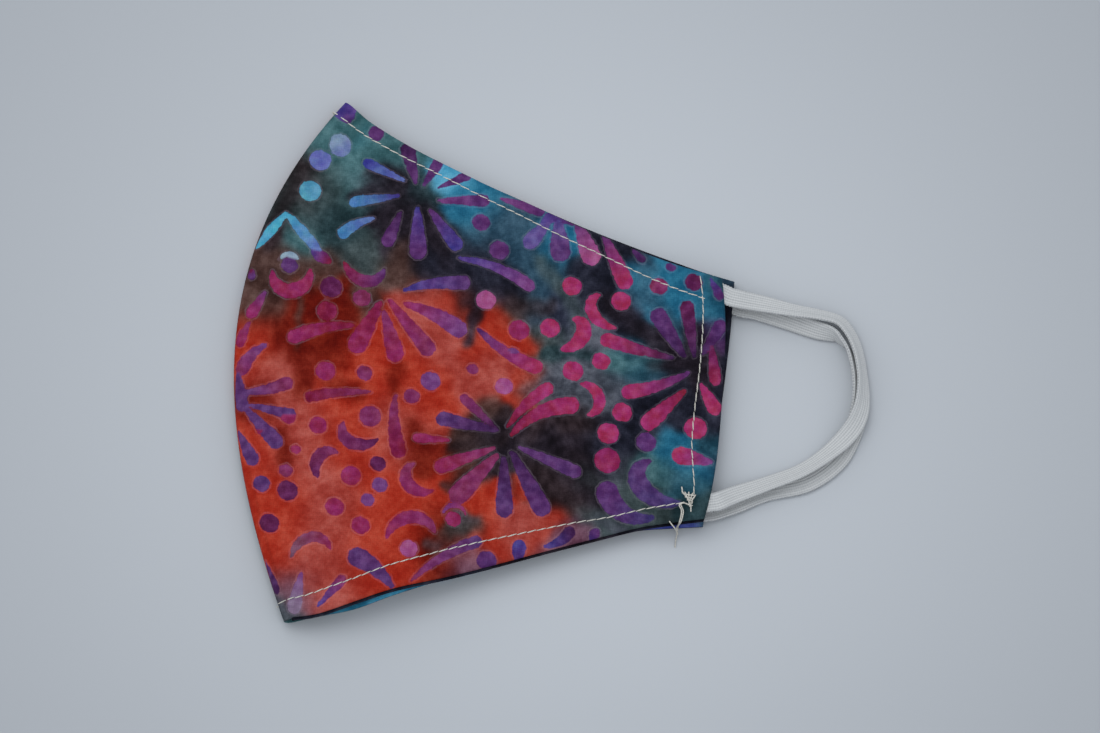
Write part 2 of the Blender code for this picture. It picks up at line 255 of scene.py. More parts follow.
def smooth_through(places, values, at, level=False):
    """A curve through the values at rising places. Where it is level, it never passes the values."""
    slopes = np.gradient(values, places, axis=0)
    if level:
        climbs = np.diff(values, axis=0) / np.diff(places).reshape(-1, *[1] * (values.ndim - 1))
        before, after = climbs[:-1], climbs[1:]
        limit = 2 * np.minimum(np.abs(before), np.abs(after)) * (before * after > 0)
        slopes[1:-1] = np.clip(slopes[1:-1], -limit, limit)
    k = np.clip(np.searchsorted(places, at, side="right") - 1, 0, len(places) - 2)
    step = places[k + 1] - places[k]
    t = (at - places[k]) / step
    if values.ndim > 1:
        t, step = t[:, None], step[:, None]
    start, end = (1 + 2 * t) * (1 - t) ** 2, t * t * (3 - 2 * t)
    lean_in, lean_out = t * (1 - t) ** 2, t * t * (t - 1)
    lean = step * (lean_in * slopes[k] + lean_out * slopes[k + 1])
    return start * values[k] + end * values[k + 1] + lean


def seam_point(v):
    t = 2 * v - 1
    return np.stack([-SEAM_BOW * (1 - t * t) * (1 + SEAM_LEAN * t), SEAM_CHORD / 2 * t], axis=-1)


seam_out = seam_point(np.linspace(0, 1, 200))[:, 0].min()
PATTERN_ORIGIN = np.array((cad_box[0].x - seam_out, cad_box[0].y + SEAM_CHORD / 2))


def hem_corners(lower):
    """The nose and chin corners of one half's hem."""
    nose = np.array([HEM_REACH - HEM_SKEW / 2, HEM_HEIGHT / 2 - HEM_DROP])
    chin = np.array([HEM_REACH + HEM_SKEW / 2, -HEM_HEIGHT / 2 - HEM_DROP])
    if lower:
        return nose + NOSE_CORNER_SHIFT, chin + CHIN_CORNER_SHIFT
    return nose, chin


def edge_dip(u, edge):
    table = rows(EDGE_COLUMNS, EDGE_ROWS)
    along = np.array([row["along"] for row in table])
    shares = np.array([row[edge] for row in table])
    return smooth_through(along, shares, u.ravel()).reshape(u.shape)


def edge_point(u, start, end, dip):
    """A point of the nose or chin edge, which dips in this far from the line between its ends."""
    along = unit(end - start)
    inward = np.array([-along[1], along[0]]) * -math.copysign(1.0, start[1])
    return start + (end - start) * u[..., None] + inward * dip[..., None]


def cut_point(u, v, lower):
    """Where share u from seam to hem and share v from chin to nose lies on the table."""
    nose_corner, chin_corner = hem_corners(lower)
    chin_end = np.array([0.0, -SEAM_CHORD / 2])
    nose_end = np.array([0.0, SEAM_CHORD / 2])
    uu, vv = u[..., None], v[..., None]
    bow = (LOWER_HEM_BOW if lower else UPPER_HEM_BOW) * (1 - np.abs(2 * v - 1) ** 3)
    hem = chin_corner + (nose_corner - chin_corner) * vv + np.stack([bow, 0 * bow], axis=-1)
    across = seam_point(v) * (1 - uu) + hem * uu
    chin_dip = CHIN_DIP * edge_dip(u, "lower_chin" if lower else "upper_chin")
    nose_dip = NOSE_DIP * edge_dip(u, "nose")
    along = edge_point(u, chin_end, chin_corner, chin_dip) * (1 - vv)
    along = along + edge_point(u, nose_end, nose_corner, nose_dip) * vv
    corners = (chin_end * (1 - vv) + nose_end * vv) * (1 - uu)
    corners = corners + (chin_corner * (1 - vv) + nose_corner * vv) * uu
    return across + along - corners + PATTERN_ORIGIN


def reach_at(v, lower):
    """How far the hem is from the seam at shares v."""
    return lengths(cut_point(np.ones_like(v), v, lower) - cut_point(np.zeros_like(v), v, lower))


# How far in the lines lie that follow the rounded edges
EDGE_LINES = np.array((0.0, 0.06, 0.18, 0.38, 0.7, 1.1)) * MM


def pattern_grid(cells_across, cells_along, lower):
    """Shares u and v of the fine lines of a half, closer at the edges that are rounded."""
    even = np.linspace(0, 1, cells_across + 1)
    chin = cut_point(even, np.zeros_like(even), lower)
    nose = cut_point(even, np.ones_like(even), lower)
    edge = EDGE_LINES / lengths(nose - chin)[:, None]
    inner = np.linspace(edge[:, -1], 1 - edge[:, -1], cells_along + 1, axis=1)[:, 1:-1]
    v = np.concatenate([edge, inner, 1 - edge[:, ::-1]], axis=1)
    reach = reach_at(v[0], lower)
    start = FOLD_RADIUS / reach
    hem = EDGE_LINES[::-1, None] / reach
    even = np.linspace(0, 1, cells_across + 2 - len(EDGE_LINES))[:, None]
    return np.concatenate([start + (1 - hem[0] - start) * even, 1 - hem[1:]]), v


def near_line(points, line):
    """How far points are from a line of straight runs, and how far along it."""
    best = np.full(len(points), np.inf)
    along = np.zeros(len(points))
    done = 0.0
    for a, b in zip(line[:-1], line[1:]):
        run = b - a
        length = lengths(run)
        t = np.clip((points - a) @ run / length**2, 0, 1)
        off = lengths(points - a - t[:, None] * run)
        closer = off < best
        best[closer] = off[closer]
        along[closer] = (done + t * length)[closer]
        done += length
    return best, along


# How far in the stitching runs, in mm, as the edges go from the seam to the hem and as the hem
# goes from its chin corner to its nose corner
STITCH_COLUMNS = ("along", "nose", "chin", "hem")
STITCH_ROWS = (
    (0.00, 4.6, 5.3, 4.6), (0.10, 4.3, 6.4, 4.9), (0.20, 3.9, 6.5, 6.4), (0.30, 3.8, 7.1, 7.6),
    (0.40, 4.1, 7.6, 7.8), (0.50, 4.6, 7.3, 7.6), (0.60, 5.1, 6.6, 7.2), (0.70, 5.7, 5.9, 6.9),
    (0.80, 6.4, 4.9, 6.6), (0.90, 7.2, 5.1, 6.3), (1.00, 7.8, 5.4, 6.2),
)


def stitch_inset(edge, share):
    table = rows(STITCH_COLUMNS, STITCH_ROWS)
    insets = np.array([row[edge] for row in table]) * MM
    return smooth_through(np.array([row["along"] for row in table]), insets, share)


def edge_lines(lower, steps=60):
    """The chin edge, the nose edge and the hem of a half, on the table."""
    u = np.linspace(0, 1, steps)
    return {
        "chin": cut_point(u, np.zeros(steps), lower),
        "nose": cut_point(u, np.ones(steps), lower),
        "hem": cut_point(np.ones(steps), u, lower),
    }


def off_edges(plan, lower):
    """How far each place of a half is from its nearest free edge."""
    points = plan.reshape(-1, 2)
    off = [near_line(points, line)[0] for line in edge_lines(lower).values()]
    return np.min(off, axis=0).reshape(plan.shape[:-1])


def cut_size(lower, steps=200):
    """The width and length of the cloth that a half is cut from, and the half's flat area."""
    edges = edge_lines(lower, steps)
    seam = cut_point(np.zeros(steps), np.linspace(0, 1, steps), lower)
    x, y = np.concatenate([edges["chin"], edges["hem"], edges["nose"][::-1], seam[::-1]]).T
    area = abs(np.dot(x, np.roll(y, -1)) - np.dot(y, np.roll(x, -1))) / 2
    width, length = edges["hem"][:, 0].max() - seam[:, 0].min(), np.ptp(seam[:, 1])
    return (width, length), area


RAY_START = 1.0


def surface_of(piece):
    """A piece's surface, to be met by rays."""
    mesh = piece.data
    faces = [tuple(p.vertices) for p in mesh.polygons]
    return BVHTree.FromPolygons([v.co for v in mesh.vertices], faces)


def ray_height(solid, x, y, upward=False):
    """The height at which a ray from above, or from below, meets a surface, or nan."""
    start, way = (-RAY_START, (0, 0, 1)) if upward else (RAY_START, (0, 0, -1))
    hit = solid.ray_cast(Vector((x, y, start)), Vector(way))[0]
    return hit.z if hit else math.nan


FILLING_ROUNDS = 400
SMOOTHING_LINES = 7
SMOOTHING_ROUNDS = 3


def node_heights(node, plan, upward=False):
    """The height of a CAD node's top, or its underside, over a grid, with its facets smoothed."""
    solid = surface_of(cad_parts[node])
    heights = np.array([[ray_height(solid, x, y, upward) for x, y in row] for row in plan])
    for _ in range(FILLING_ROUNDS):
        missing = np.isnan(heights)
        if not missing.any():
            break
        padded = np.pad(heights, 1, constant_values=np.nan)
        around = np.stack([padded[2:, 1:-1], padded[:-2, 1:-1], padded[1:-1, 2:], padded[1:-1, :-2]])
        known = ~np.isnan(around)
        mean = np.where(known, around, 0).sum(axis=0) / np.maximum(known.sum(axis=0), 1)
        heights = np.where(missing & known.any(axis=0), mean, heights)
    for _ in range(SMOOTHING_ROUNDS):
        for axis in (0, 1):
            width = [(SMOOTHING_LINES, SMOOTHING_LINES) if a == axis else (0, 0) for a in (0, 1)]
            padded = np.pad(heights, width, mode="edge")
            window_sum = np.cumsum(np.insert(padded, 0, 0, axis=axis), axis=axis)
            size = 2 * SMOOTHING_LINES + 1
            high = np.take(window_sum, range(size, window_sum.shape[axis]), axis=axis)
            low = np.take(window_sum, range(0, window_sum.shape[axis] - size), axis=axis)
            heights = (high - low) / size
    return heights


# The batik print
# Quilting cotton, resist printed: hot wax is stamped on violet and crimson cloth in bursts of
# petals, dots and crescents, and the rest is dyed over in drifting washes. Places are in pixels
# of the picture, where the upper half shows them.

DYES = {
    "violet": "#473879",
    "purple": "#552e61",
    "plum": "#3e2047",
    "grape": "#563263",
    "mulberry": "#762d52",
    "magenta": "#83264d",
    "wine": "#741b36",
    "crimson": "#962f58",
    "pink": "#944a76",
    "rose": "#6e3c70",
    "blue": "#3e4788",
    "sky": "#4472a0",
    "cyan": "#4a93b0",
    "periwinkle": "#5a609c",
    "lavender": "#7d90a0",
    "orange": "#a0301f",
    "flame": "#9d443b",
    "red": "#661509",
    "rust": "#4a342f",
    "umber": "#2b2023",
    "soot": "#201a22",
    "ink": "#1f202c",
    "forest": "#263a3e",
    "moss": "#384344",
    "sage": "#406468",
    "teal": "#214654",
    "lagoon": "#24647e",
    "petrol": "#2f4a5b",
    "ash": "#4c4f58",
    "mauve": "#6a4656",
    "bramble": "#582047",
    "azure": "#4f8ba4",
    "verdigris": "#4f8089",
    "slate": "#2e3142",
    "coal": "#2b2c2d",
    "thistle": "#7d6a80",
    "indigo": "#3f3462",
    "heather": "#5b4b82",
}

# Petals: inner end, outer end, how far the middle bows out, width, inner dye, outer dye
PETAL_COLUMNS = ("x1", "y1", "x2", "y2", "bow", "width", "from_dye", "to_dye")
PETALS = (
    (404, 180, 362, 160, 0, 11, "periwinkle", "blue"),
    (398, 195, 348, 202, 0, 12, "violet", "sky"),
    (373, 218, 337, 235, 2, 13, "periwinkle", "sky"),
    (400, 212, 385, 247, 0, 14, "plum", "purple"),
    (417, 208, 418, 260, 0, 18, "violet", "purple"),
    (430, 210, 460, 250, 0, 15, "purple", "violet"),
    (438, 200, 490, 200, 0, 13, "rose", "purple"),
    (438, 187, 471, 173, 0, 10, "purple", "purple"),
    (423, 185, 440, 158, 0, 12, "purple", "purple"),
    (415, 181, 405, 141, 0, 16, "purple", "plum"),
    (459, 258, 535, 288, -5, 13, "violet", "rose"),
    (405, 290, 471, 282, -3, 15, "violet", "grape"),
    (380, 303, 353, 353, 0, 20, "wine", "magenta"),
    (354, 325, 287, 338, 3, 15, "wine", "magenta"),
    (384, 312, 398, 362, 0, 18, "mulberry", "magenta"),
    (390, 301, 433, 355, 0, 17, "magenta", "mulberry"),
    (405, 304, 467, 333, -3, 18, "magenta", "rose"),
    (265, 292, 248, 318, 0, 13, "rose", "magenta"),
    (249, 322, 237, 347, 0, 12, "mulberry", "magenta"),
    (266, 345, 237, 374, 3, 15, "rose", "mulberry"),
    (244, 392, 294, 382, 2, 14, "grape", "mulberry"),
    (238, 372, 243, 412, 0, 15, "grape", "grape"),
    (250, 405, 297, 415, 0, 12, "grape", "grape"),
    (246, 408, 282, 447, 0, 16, "grape", "grape"),
    (238, 432, 257, 465, 0, 15, "grape", "grape"),
    (371, 392, 305, 397, 2, 12, "mulberry", "wine"),
    (396, 396, 400, 458, 3, 16, "mulberry", "wine"),
    (450, 440, 413, 437, 0, 10, "magenta", "magenta"),
    (393, 584, 351, 549, 3, 20, "grape", "grape"),
    (413, 578, 482, 537, -4, 13, "mulberry", "grape"),
    (320, 604, 347, 574, 0, 11, "violet", "mulberry"),
    (303, 572, 295, 612, 0, 15, "rose", "thistle"),
    (266, 561, 279, 593, 0, 11, "grape", "plum"),
    (496, 430, 436, 417, 0, 15, "plum", "grape"),
    (498, 430, 461, 395, 0, 11, "plum", "mulberry"),
    (494, 448, 435, 468, 0, 15, "mulberry", "magenta"),
    (497, 455, 452, 501, 0, 21, "mulberry", "mulberry"),
    (504, 458, 505, 517, 0, 18, "plum", "grape"),
    (512, 452, 546, 515, 0, 19, "plum", "purple"),
    (520, 447, 581, 474, 0, 14, "grape", "grape"),
    (512, 434, 579, 401, -7, 18, "wine", "crimson"),
    (508, 426, 552, 384, -3, 14, "wine", "crimson"),
    (501, 198, 545, 212, 0, 12, "rose", "purple"),
    (549, 221, 525, 247, 0, 17, "heather", "heather"),
    (558, 218, 561, 262, 0, 21, "heather", "grape"),
    (577, 222, 595, 265, 0, 20, "purple", "pink"),
    (604, 234, 628, 289, 0, 18, "purple", "crimson"),
    (478, 329, 542, 371, 4, 15, "purple", "crimson"),
    (672, 358, 600, 338, -1, 15, "plum", "crimson"),
    (684, 356, 654, 309, 0, 18, "plum", "purple"),
    (694, 356, 686, 300, 0, 15, "plum", "bramble"),
    (703, 354, 724, 320, 0, 14, "plum", "purple"),
    (711, 344, 716, 386, 0, 13, "bramble", "magenta"),
    (688, 373, 621, 394, -3, 15, "purple", "crimson"),
    (684, 391, 642, 428, 0, 18, "wine", "crimson"),
    (701, 385, 718, 415, 0, 15, "crimson", "crimson"),
    (495, 349, 520, 354, 0, 10, "grape", "rose"),
    (545, 545, 575, 528, 3, 13, "violet", "plum"),
    (518, 562, 520, 538, 0, 15, "purple", "violet"),
    (590, 543, 597, 527, 0, 11, "violet", "purple"),
    (710, 462, 671, 453, 0, 18, "rose", "crimson"),
    (651, 517, 597, 486, -10, 23, "indigo", "purple"),
    (347, 118, 340, 98, 0, 24, "purple", "violet"),
    (633, 250, 645, 262, 0, 9, "purple", "plum"),
    (711, 279, 722, 300, 0, 10, "violet", "purple"),
    (250, 270, 251, 278, 0, 10, "wine", "purple"),
)

# Dots: middle, radius, dye
DOT_COLUMNS = ("x", "y", "radius", "dye")
DOTS = (
    (319, 159, 11, "periwinkle"), (309, 190, 11, "azure"), (375, 132, 8, "purple"),
    (481, 222, 9, "purple"), (499, 250, 10, "purple"), (331, 287, 11, "bramble"),
    (289, 265, 8.5, "grape"), (327, 311, 10, "wine"), (362, 298, 9, "mulberry"),
    (326, 371, 10, "magenta"), (365, 373, 8, "mulberry"), (431, 381, 10, "rose"),
    (412, 396, 8, "mulberry"), (371, 416, 11, "mulberry"), (319, 425, 9, "magenta"),
    (379, 463, 8, "bramble"), (352, 475, 10, "magenta"), (289, 490, 10.5, "bramble"),
    (263, 483, 8.5, "grape"), (271, 522, 10, "bramble"), (336, 506, 9.5, "magenta"),
    (362, 524, 9, "magenta"), (410, 547, 9, "pink"), (504, 386, 9, "pink"), (487, 559, 10, "purple"),
    (381, 484, 8, "rose"), (369, 499, 7, "rose"), (473, 369, 6, "mulberry"), (572, 286, 10, "crimson"),
    (621, 301, 10, "crimson"), (519, 330, 10.5, "magenta"), (550, 328, 10, "crimson"),
    (573, 371, 10.5, "crimson"), (601, 361, 9, "crimson"), (671, 267, 5, "purple"),
    (659, 286, 9, "mulberry"), (694, 282, 9, "bramble"), (622, 412, 10, "crimson"),
    (608, 433, 11, "crimson"), (607, 460, 13, "magenta"), (646, 442, 10, "purple"),
    (695, 428, 11.5, "crimson"), (289, 416, 8, "magenta"), (486, 300, 10, "pink"),
    (297, 449, 5, "magenta"), (287, 470, 7, "mulberry"), (454, 518, 8, "magenta"),
    (262, 430, 5, "magenta"),
)

# Crescents: one end, the middle, the other end, width, dye of one end, dye of the other
CRESCENT_COLUMNS = ("x1", "y1", "x2", "y2", "x3", "y3", "width", "from_dye", "to_dye")
CRESCENTS = (
    (336, 138, 339, 144, 342, 150, 22, "lavender", "periwinkle"),
    (254, 248, 270, 230, 285, 212, 11, "cyan", "cyan"),
    (285, 212, 304, 234, 322, 254, 12, "cyan", "periwinkle"),
    (312, 250, 320, 256, 330, 262, 13, "violet", "wine"),
    (272, 272, 291, 291, 310, 270, 16, "magenta", "magenta"),
    (279, 259, 288, 254, 298, 259, 7, "lavender", "lavender"),
    (344, 262, 365, 281, 384, 269, 13, "wine", "purple"),
    (344, 422, 352, 442, 378, 439, 14, "mulberry", "bramble"),
    (338, 452, 320, 456, 319, 476, 14, "mulberry", "bramble"),
    (414, 463, 409, 483, 433, 490, 14, "mulberry", "magenta"),
    (388, 536, 411, 516, 436, 531, 14, "magenta", "mulberry"),
    (293, 555, 312, 536, 332, 547, 12, "mauve", "magenta"),
    (600, 295, 592, 312, 615, 328, 13, "crimson", "crimson"),
    (574, 319, 583, 335, 562, 349, 17, "crimson", "crimson"),
    (581, 384, 599, 398, 588, 415, 13, "crimson", "crimson"),
    (649, 461, 640, 486, 677, 502, 20, "grape", "indigo"),
    (444, 514, 454, 504, 466, 514, 6, "rose", "magenta"),
    (542, 224, 557, 216, 573, 224, 13, "violet", "purple"),
)

# Washes: middle, how far the dye drifted, dye, strength
WASH_COLUMNS = ("x1", "y1", "drift", "dye", "strength")
WASHES = (
    (345, 120, 26, "sage", 1.0), (385, 140, 26, "sage", 1.0), (360, 138, 9, "verdigris", 1.2),
    (362, 180, 22, "sage", 0.8), (296, 178, 18, "coal", 1.2), (285, 205, 20, "moss", 0.9),
    (330, 190, 16, "moss", 0.9), (330, 215, 16, "forest", 0.9), (378, 188, 14, "soot", 1.3),
    (405, 200, 15, "soot", 1.8), (419, 195, 13, "forest", 1.6), (395, 230, 13, "soot", 1.3),
    (345, 225, 16, "forest", 1.0), (436, 240, 15, "soot", 1.6), (452, 171, 14, "cyan", 1.2),
    (480, 195, 17, "lagoon", 1.3), (474, 194, 11, "cyan", 0.5), (470, 212, 13, "lagoon", 1.2),
    (505, 215, 15, "petrol", 1.0), (480, 235, 16, "petrol", 1.0), (520, 240, 16, "petrol", 0.9),
    (295, 235, 12, "sage", 0.9), (265, 265, 16, "rust", 1.0), (310, 268, 16, "rust", 0.8),
    (365, 250, 15, "moss", 0.9), (400, 262, 14, "rust", 0.7), (445, 265, 15, "ink", 1.5),
    (480, 272, 16, "ink", 1.4), (500, 285, 12, "ink", 0.9), (490, 310, 13, "orange", 0.8),
    (260, 300, 20, "rust", 0.8), (250, 340, 20, "orange", 0.9), (310, 300, 16, "red", 1.4),
    (340, 310, 18, "red", 1.1), (300, 340, 20, "red", 1.0), (330, 345, 18, "red", 1.2),
    (370, 350, 22, "orange", 1.0), (430, 330, 24, "flame", 1.0), (450, 300, 16, "orange", 0.8),
    (400, 370, 22, "orange", 1.0), (290, 380, 22, "flame", 0.9), (340, 390, 22, "orange", 1.0),
    (262, 400, 14, "red", 0.6), (300, 440, 26, "flame", 1.0), (350, 440, 24, "orange", 1.0),
    (400, 430, 24, "flame", 1.0), (430, 400, 18, "orange", 0.9), (260, 450, 20, "orange", 0.7),
    (280, 510, 26, "orange", 1.0), (330, 500, 26, "flame", 1.0), (390, 500, 24, "orange", 1.0),
    (440, 480, 18, "orange", 0.9), (425, 455, 14, "red", 0.9), (330, 560, 28, "flame", 0.9),
    (380, 555, 26, "orange", 0.9), (440, 540, 22, "red", 0.7), (296, 590, 15, "mauve", 0.6),
    (284, 612, 12, "moss", 1.3), (460, 300, 10, "umber", 0.8), (480, 340, 16, "orange", 0.9),
    (508, 308, 13, "rust", 0.9), (500, 360, 18, "flame", 0.9), (470, 385, 15, "flame", 0.8),
    (525, 395, 14, "orange", 0.7), (545, 270, 15, "petrol", 1.0), (560, 240, 16, "lagoon", 0.9),
    (530, 300, 14, "petrol", 0.9), (590, 290, 15, "ink", 1.4), (600, 260, 13, "ink", 1.2),
    (630, 322, 12, "slate", 1.0), (642, 300, 13, "petrol", 1.0), (650, 275, 17, "lagoon", 1.2),
    (680, 290, 16, "lagoon", 1.2), (712, 302, 15, "teal", 1.3), (662, 308, 13, "lagoon", 1.1),
    (560, 310, 16, "slate", 1.1), (545, 345, 14, "moss", 0.8), (580, 350, 18, "ash", 1.1),
    (600, 385, 17, "ash", 1.1), (560, 385, 13, "ash", 1.0), (640, 365, 15, "teal", 1.2),
    (640, 350, 10, "petrol", 1.0), (660, 378, 10, "petrol", 0.9), (690, 366, 18, "soot", 2.0),
    (700, 345, 12, "soot", 1.0), (665, 400, 14, "ink", 1.4), (690, 405, 16, "ink", 1.5),
    (640, 405, 13, "ink", 1.0), (718, 400, 14, "ink", 1.3), (580, 435, 17, "umber", 1.4),
    (610, 445, 16, "ink", 1.5), (640, 430, 14, "ink", 1.4), (560, 455, 18, "soot", 1.2),
    (505, 441, 18, "soot", 2.2), (480, 441, 12, "umber", 1.4), (530, 470, 14, "umber", 1.2),
    (525, 430, 12, "umber", 1.3), (465, 450, 12, "rust", 0.9), (490, 410, 11, "rust", 0.9),
    (580, 490, 18, "umber", 1.2), (545, 490, 15, "umber", 0.9), (480, 500, 14, "orange", 0.9),
    (460, 470, 11, "rust", 1.3), (520, 525, 16, "flame", 1.0), (550, 525, 13, "orange", 0.9),
    (490, 535, 16, "orange", 0.8), (470, 560, 14, "mauve", 1.0), (660, 460, 12, "sage", 0.9),
    (685, 475, 15, "teal", 1.3), (700, 450, 13, "teal", 1.1), (640, 480, 14, "moss", 1.0),
    (625, 500, 12, "moss", 1.0), (600, 520, 15, "moss", 1.1), (650, 515, 13, "moss", 1.0),
    (700, 505, 14, "forest", 1.1), (570, 545, 14, "mauve", 1.0), (620, 470, 14, "ash", 0.9),
    (715, 470, 14, "petrol", 1.2), (720, 330, 12, "plum", 0.8), (735, 360, 12, "ink", 1.0),
)

# Streaks: dye that ran out along a line between the motifs
STREAK_COLUMNS = ("x1", "y1", "x2", "y2", "drift", "dye", "strength")
STREAKS = (
    (386, 179, 403, 189, 6, "soot", 4), (357, 195, 402, 193, 4, "soot", 3),
    (386, 243, 411, 210, 6, "soot", 4), (421, 214, 449, 262, 8, "soot", 4),
    (430, 258, 503, 288, 10, "ink", 3), (300, 165, 265, 240, 7, "umber", 1.5),
    (402, 207, 374, 222, 5, "soot", 2), (402, 186, 372, 172, 4, "soot", 2),
    (602, 301, 625, 322, 6, "soot", 5), (625, 322, 664, 347, 6, "soot", 5),
    (664, 347, 696, 364, 6, "soot", 5), (587, 265, 602, 295, 9, "ink", 4),
    (599, 234, 606, 257, 6, "ink", 3), (625, 246, 646, 269, 8, "ink", 3),
    (648, 280, 678, 342, 6, "petrol", 2), (543, 357, 595, 358, 4, "forest", 3),
    (652, 364, 690, 366, 5, "soot", 4), (646, 399, 685, 380, 7, "ink", 4),
    (614, 360, 652, 362, 7, "sage", 2), (696, 372, 704, 392, 7, "soot", 4),
    (704, 360, 716, 352, 5, "soot", 3), (639, 272, 725, 315, 8, "lagoon", 2),
    (543, 257, 576, 322, 7, "moss", 2), (509, 303, 543, 309, 6, "umber", 2),
    (485, 280, 496, 290, 6, "ink", 2), (491, 314, 524, 349, 7, "orange", 3),
    (526, 445, 587, 443, 6, "soot", 4), (587, 443, 625, 437, 7, "ink", 3),
    (507, 412, 505, 437, 5, "umber", 3), (524, 452, 562, 489, 6, "umber", 3),
    (587, 478, 600, 500, 10, "soot", 2), (491, 464, 501, 462, 5, "umber", 2),
    (455, 451, 500, 442, 5, "umber", 3), (444, 489, 491, 463, 4, "umber", 2),
    (530, 393, 545, 397, 7, "ash", 1), (502, 485, 510, 500, 5, "orange", 2),
    (518, 475, 526, 492, 5, "orange", 3), (518, 515, 545, 525, 8, "flame", 2),
    (587, 475, 652, 514, 7, "moss", 1.5), (671, 445, 706, 475, 8, "lagoon", 2.5),
    (695, 478, 704, 484, 6, "teal", 3), (644, 468, 652, 476, 6, "sage", 2),
    (686, 510, 696, 518, 8, "forest", 2), (599, 521, 625, 529, 6, "ash", 2),
    (560, 536, 580, 531, 7, "mauve", 2), (302, 338, 302, 390, 8, "red", 3),
    (302, 298, 302, 352, 3, "rust", 3), (335, 385, 350, 390, 8, "red", 2),
    (452, 532, 482, 528, 7, "moss", 1.6), (281, 434, 289, 452, 6, "red", 3),
    (416, 434, 422, 471, 7, "red", 3), (462, 288, 492, 300, 8, "ink", 3),
    (482, 302, 467, 338, 5, "ink", 3), (363, 292, 363, 308, 8, "rust", 2),
    (455, 520, 480, 522, 5, "ash", 1), (430, 542, 440, 545, 6, "ash", 1),
    (276, 603, 290, 610, 8, "ash", 2), (322, 300, 340, 320, 9, "red", 3),
    (290, 330, 345, 322, 8, "red", 2), (396, 372, 398, 388, 6, "red", 2),
)

# The lining's washes, by the places where the lower half's lining shows past the upper half
LINING_WASHES = (
    (260, 560, 16, "umber", 1.0), (300, 610, 16, "soot", 1.0), (345, 600, 15, "lagoon", 1.2),
    (385, 588, 16, "cyan", 1.4), (420, 575, 14, "lagoon", 1.2), (460, 562, 13, "soot", 1.3),
    (520, 550, 20, "soot", 1.3), (580, 538, 16, "ink", 1.2), (620, 528, 14, "violet", 1.2),
    (665, 522, 14, "blue", 1.2), (705, 510, 12, "petrol", 1.0), (720, 283, 12, "petrol", 1.1),
    (732, 300, 14, "ink", 1.4), (735, 350, 22, "ink", 1.4), (728, 410, 20, "ink", 1.3),
    (715, 470, 16, "petrol", 1.1), (380, 300, 60, "petrol", 0.5), (480, 420, 60, "plum", 0.5),
    (620, 380, 60, "ink", 0.6), (330, 450, 50, "moss", 0.5),
)

# The upper half's lining: its ink and soot washes where it shows along the chin edge are partly dark dye
# and partly painted shadow under the edge
UPPER_LINING_WASHES_AND_CHIN_SHADOW = (
    (300, 605, 40, "ink", 1.0), (420, 578, 40, "ink", 1.0), (560, 548, 40, "soot", 1.0),
    (690, 520, 40, "ink", 1.0), (300, 220, 60, "petrol", 1.0), (450, 300, 60, "plum", 1.0),
    (600, 350, 60, "lagoon", 0.8), (350, 430, 60, "umber", 1.0), (710, 330, 40, "ink", 1.0),
)

PRINT_MARGIN = 14.0
CHAIN_STEPS = 11
LEAST_TURN = 0.01
EDGE_LINE = 0.5
DOT_STRETCH = np.array((0.9, 0.4))
# Motifs taper to TAPER of their width. A petal's last disc stands half a width in from its tip, or
# ROUND_END of its length where that is less.
TAPER = 0.3
PETAL_SWELLS_OVER, PETAL_SWELL, CRESCENT_SWELL = 0.85, 0.75, 0.8
ROUND_END = 0.4
WASH_FALL = 0.8
WASH_WARP = 9.0
WASH_WARP_SIZE = 42.0
FINE_WARP_SHARE = 0.55
FINE_WARP_SIZE = 13.0
FAR_DRIFT = 20.0
FAR_SHARE = 1e-4
MIXING_GAMMA = 2.2
TINY = 1e-9
DRIFT_SEED = 4

# Unless it is given a seed, the noise that the dyes drift by is another one each run
noise.seed_set(DRIFT_SEED)


def linear(name):
    return np.array(dye(DYES[name])[:3])


def arc(start, middle, end):
    """Places along a round arc through three places."""
    start, middle, end = (np.array(p, float) for p in (start, middle, end))
    half, bow = (end - start) / 2, middle - (start + end) / 2
    turn = max(2 * math.atan(lengths(bow) / lengths(half)), LEAST_TURN)
    t = np.linspace(-turn, turn, CHAIN_STEPS)[:, None]
    share = (np.cos(t) - math.cos(turn)) / (1 - math.cos(turn))
    return (start + end) / 2 + half * np.sin(t) / math.sin(turn) + bow * share


def motifs():
    """Every waxed motif as a chain of discs, with the dye of its two ends."""
    t = np.linspace(0, 1, CHAIN_STEPS)
    for row in rows(PETAL_COLUMNS, PETALS):
        start, end = np.array((row["x1"], row["y1"])), np.array((row["x2"], row["y2"]))
        length = lengths(end - start)
        along = (end - start) / length
        end = end - along * min(row["width"] / 2, length * ROUND_END)
        middle = (start + end) / 2 + np.array((-along[1], along[0])) * row["bow"]
        swell = np.clip(t / PETAL_SWELLS_OVER, 0, 1) ** PETAL_SWELL
        radii = row["width"] / 2 * (TAPER + (1 - TAPER) * swell)
        yield arc(start, middle, end), radii - EDGE_LINE, row["from_dye"], row["to_dye"]
    for row in rows(DOT_COLUMNS, DOTS):
        place = np.array((row["x"], row["y"]))
        radii = np.full(CHAIN_STEPS, row["radius"] - 2 * EDGE_LINE)
        yield arc(place - DOT_STRETCH, place, place + DOT_STRETCH), radii, row["dye"], row["dye"]
    for row in rows(CRESCENT_COLUMNS, CRESCENTS):
        ends = [(row["x1"], row["y1"]), (row["x2"], row["y2"]), (row["x3"], row["y3"])]
        swell = np.sin(math.pi * t) ** CRESCENT_SWELL
        radii = row["width"] / 2 * (TAPER + (1 - TAPER) * swell)
        yield arc(*ends), radii - EDGE_LINE, row["from_dye"], row["to_dye"]


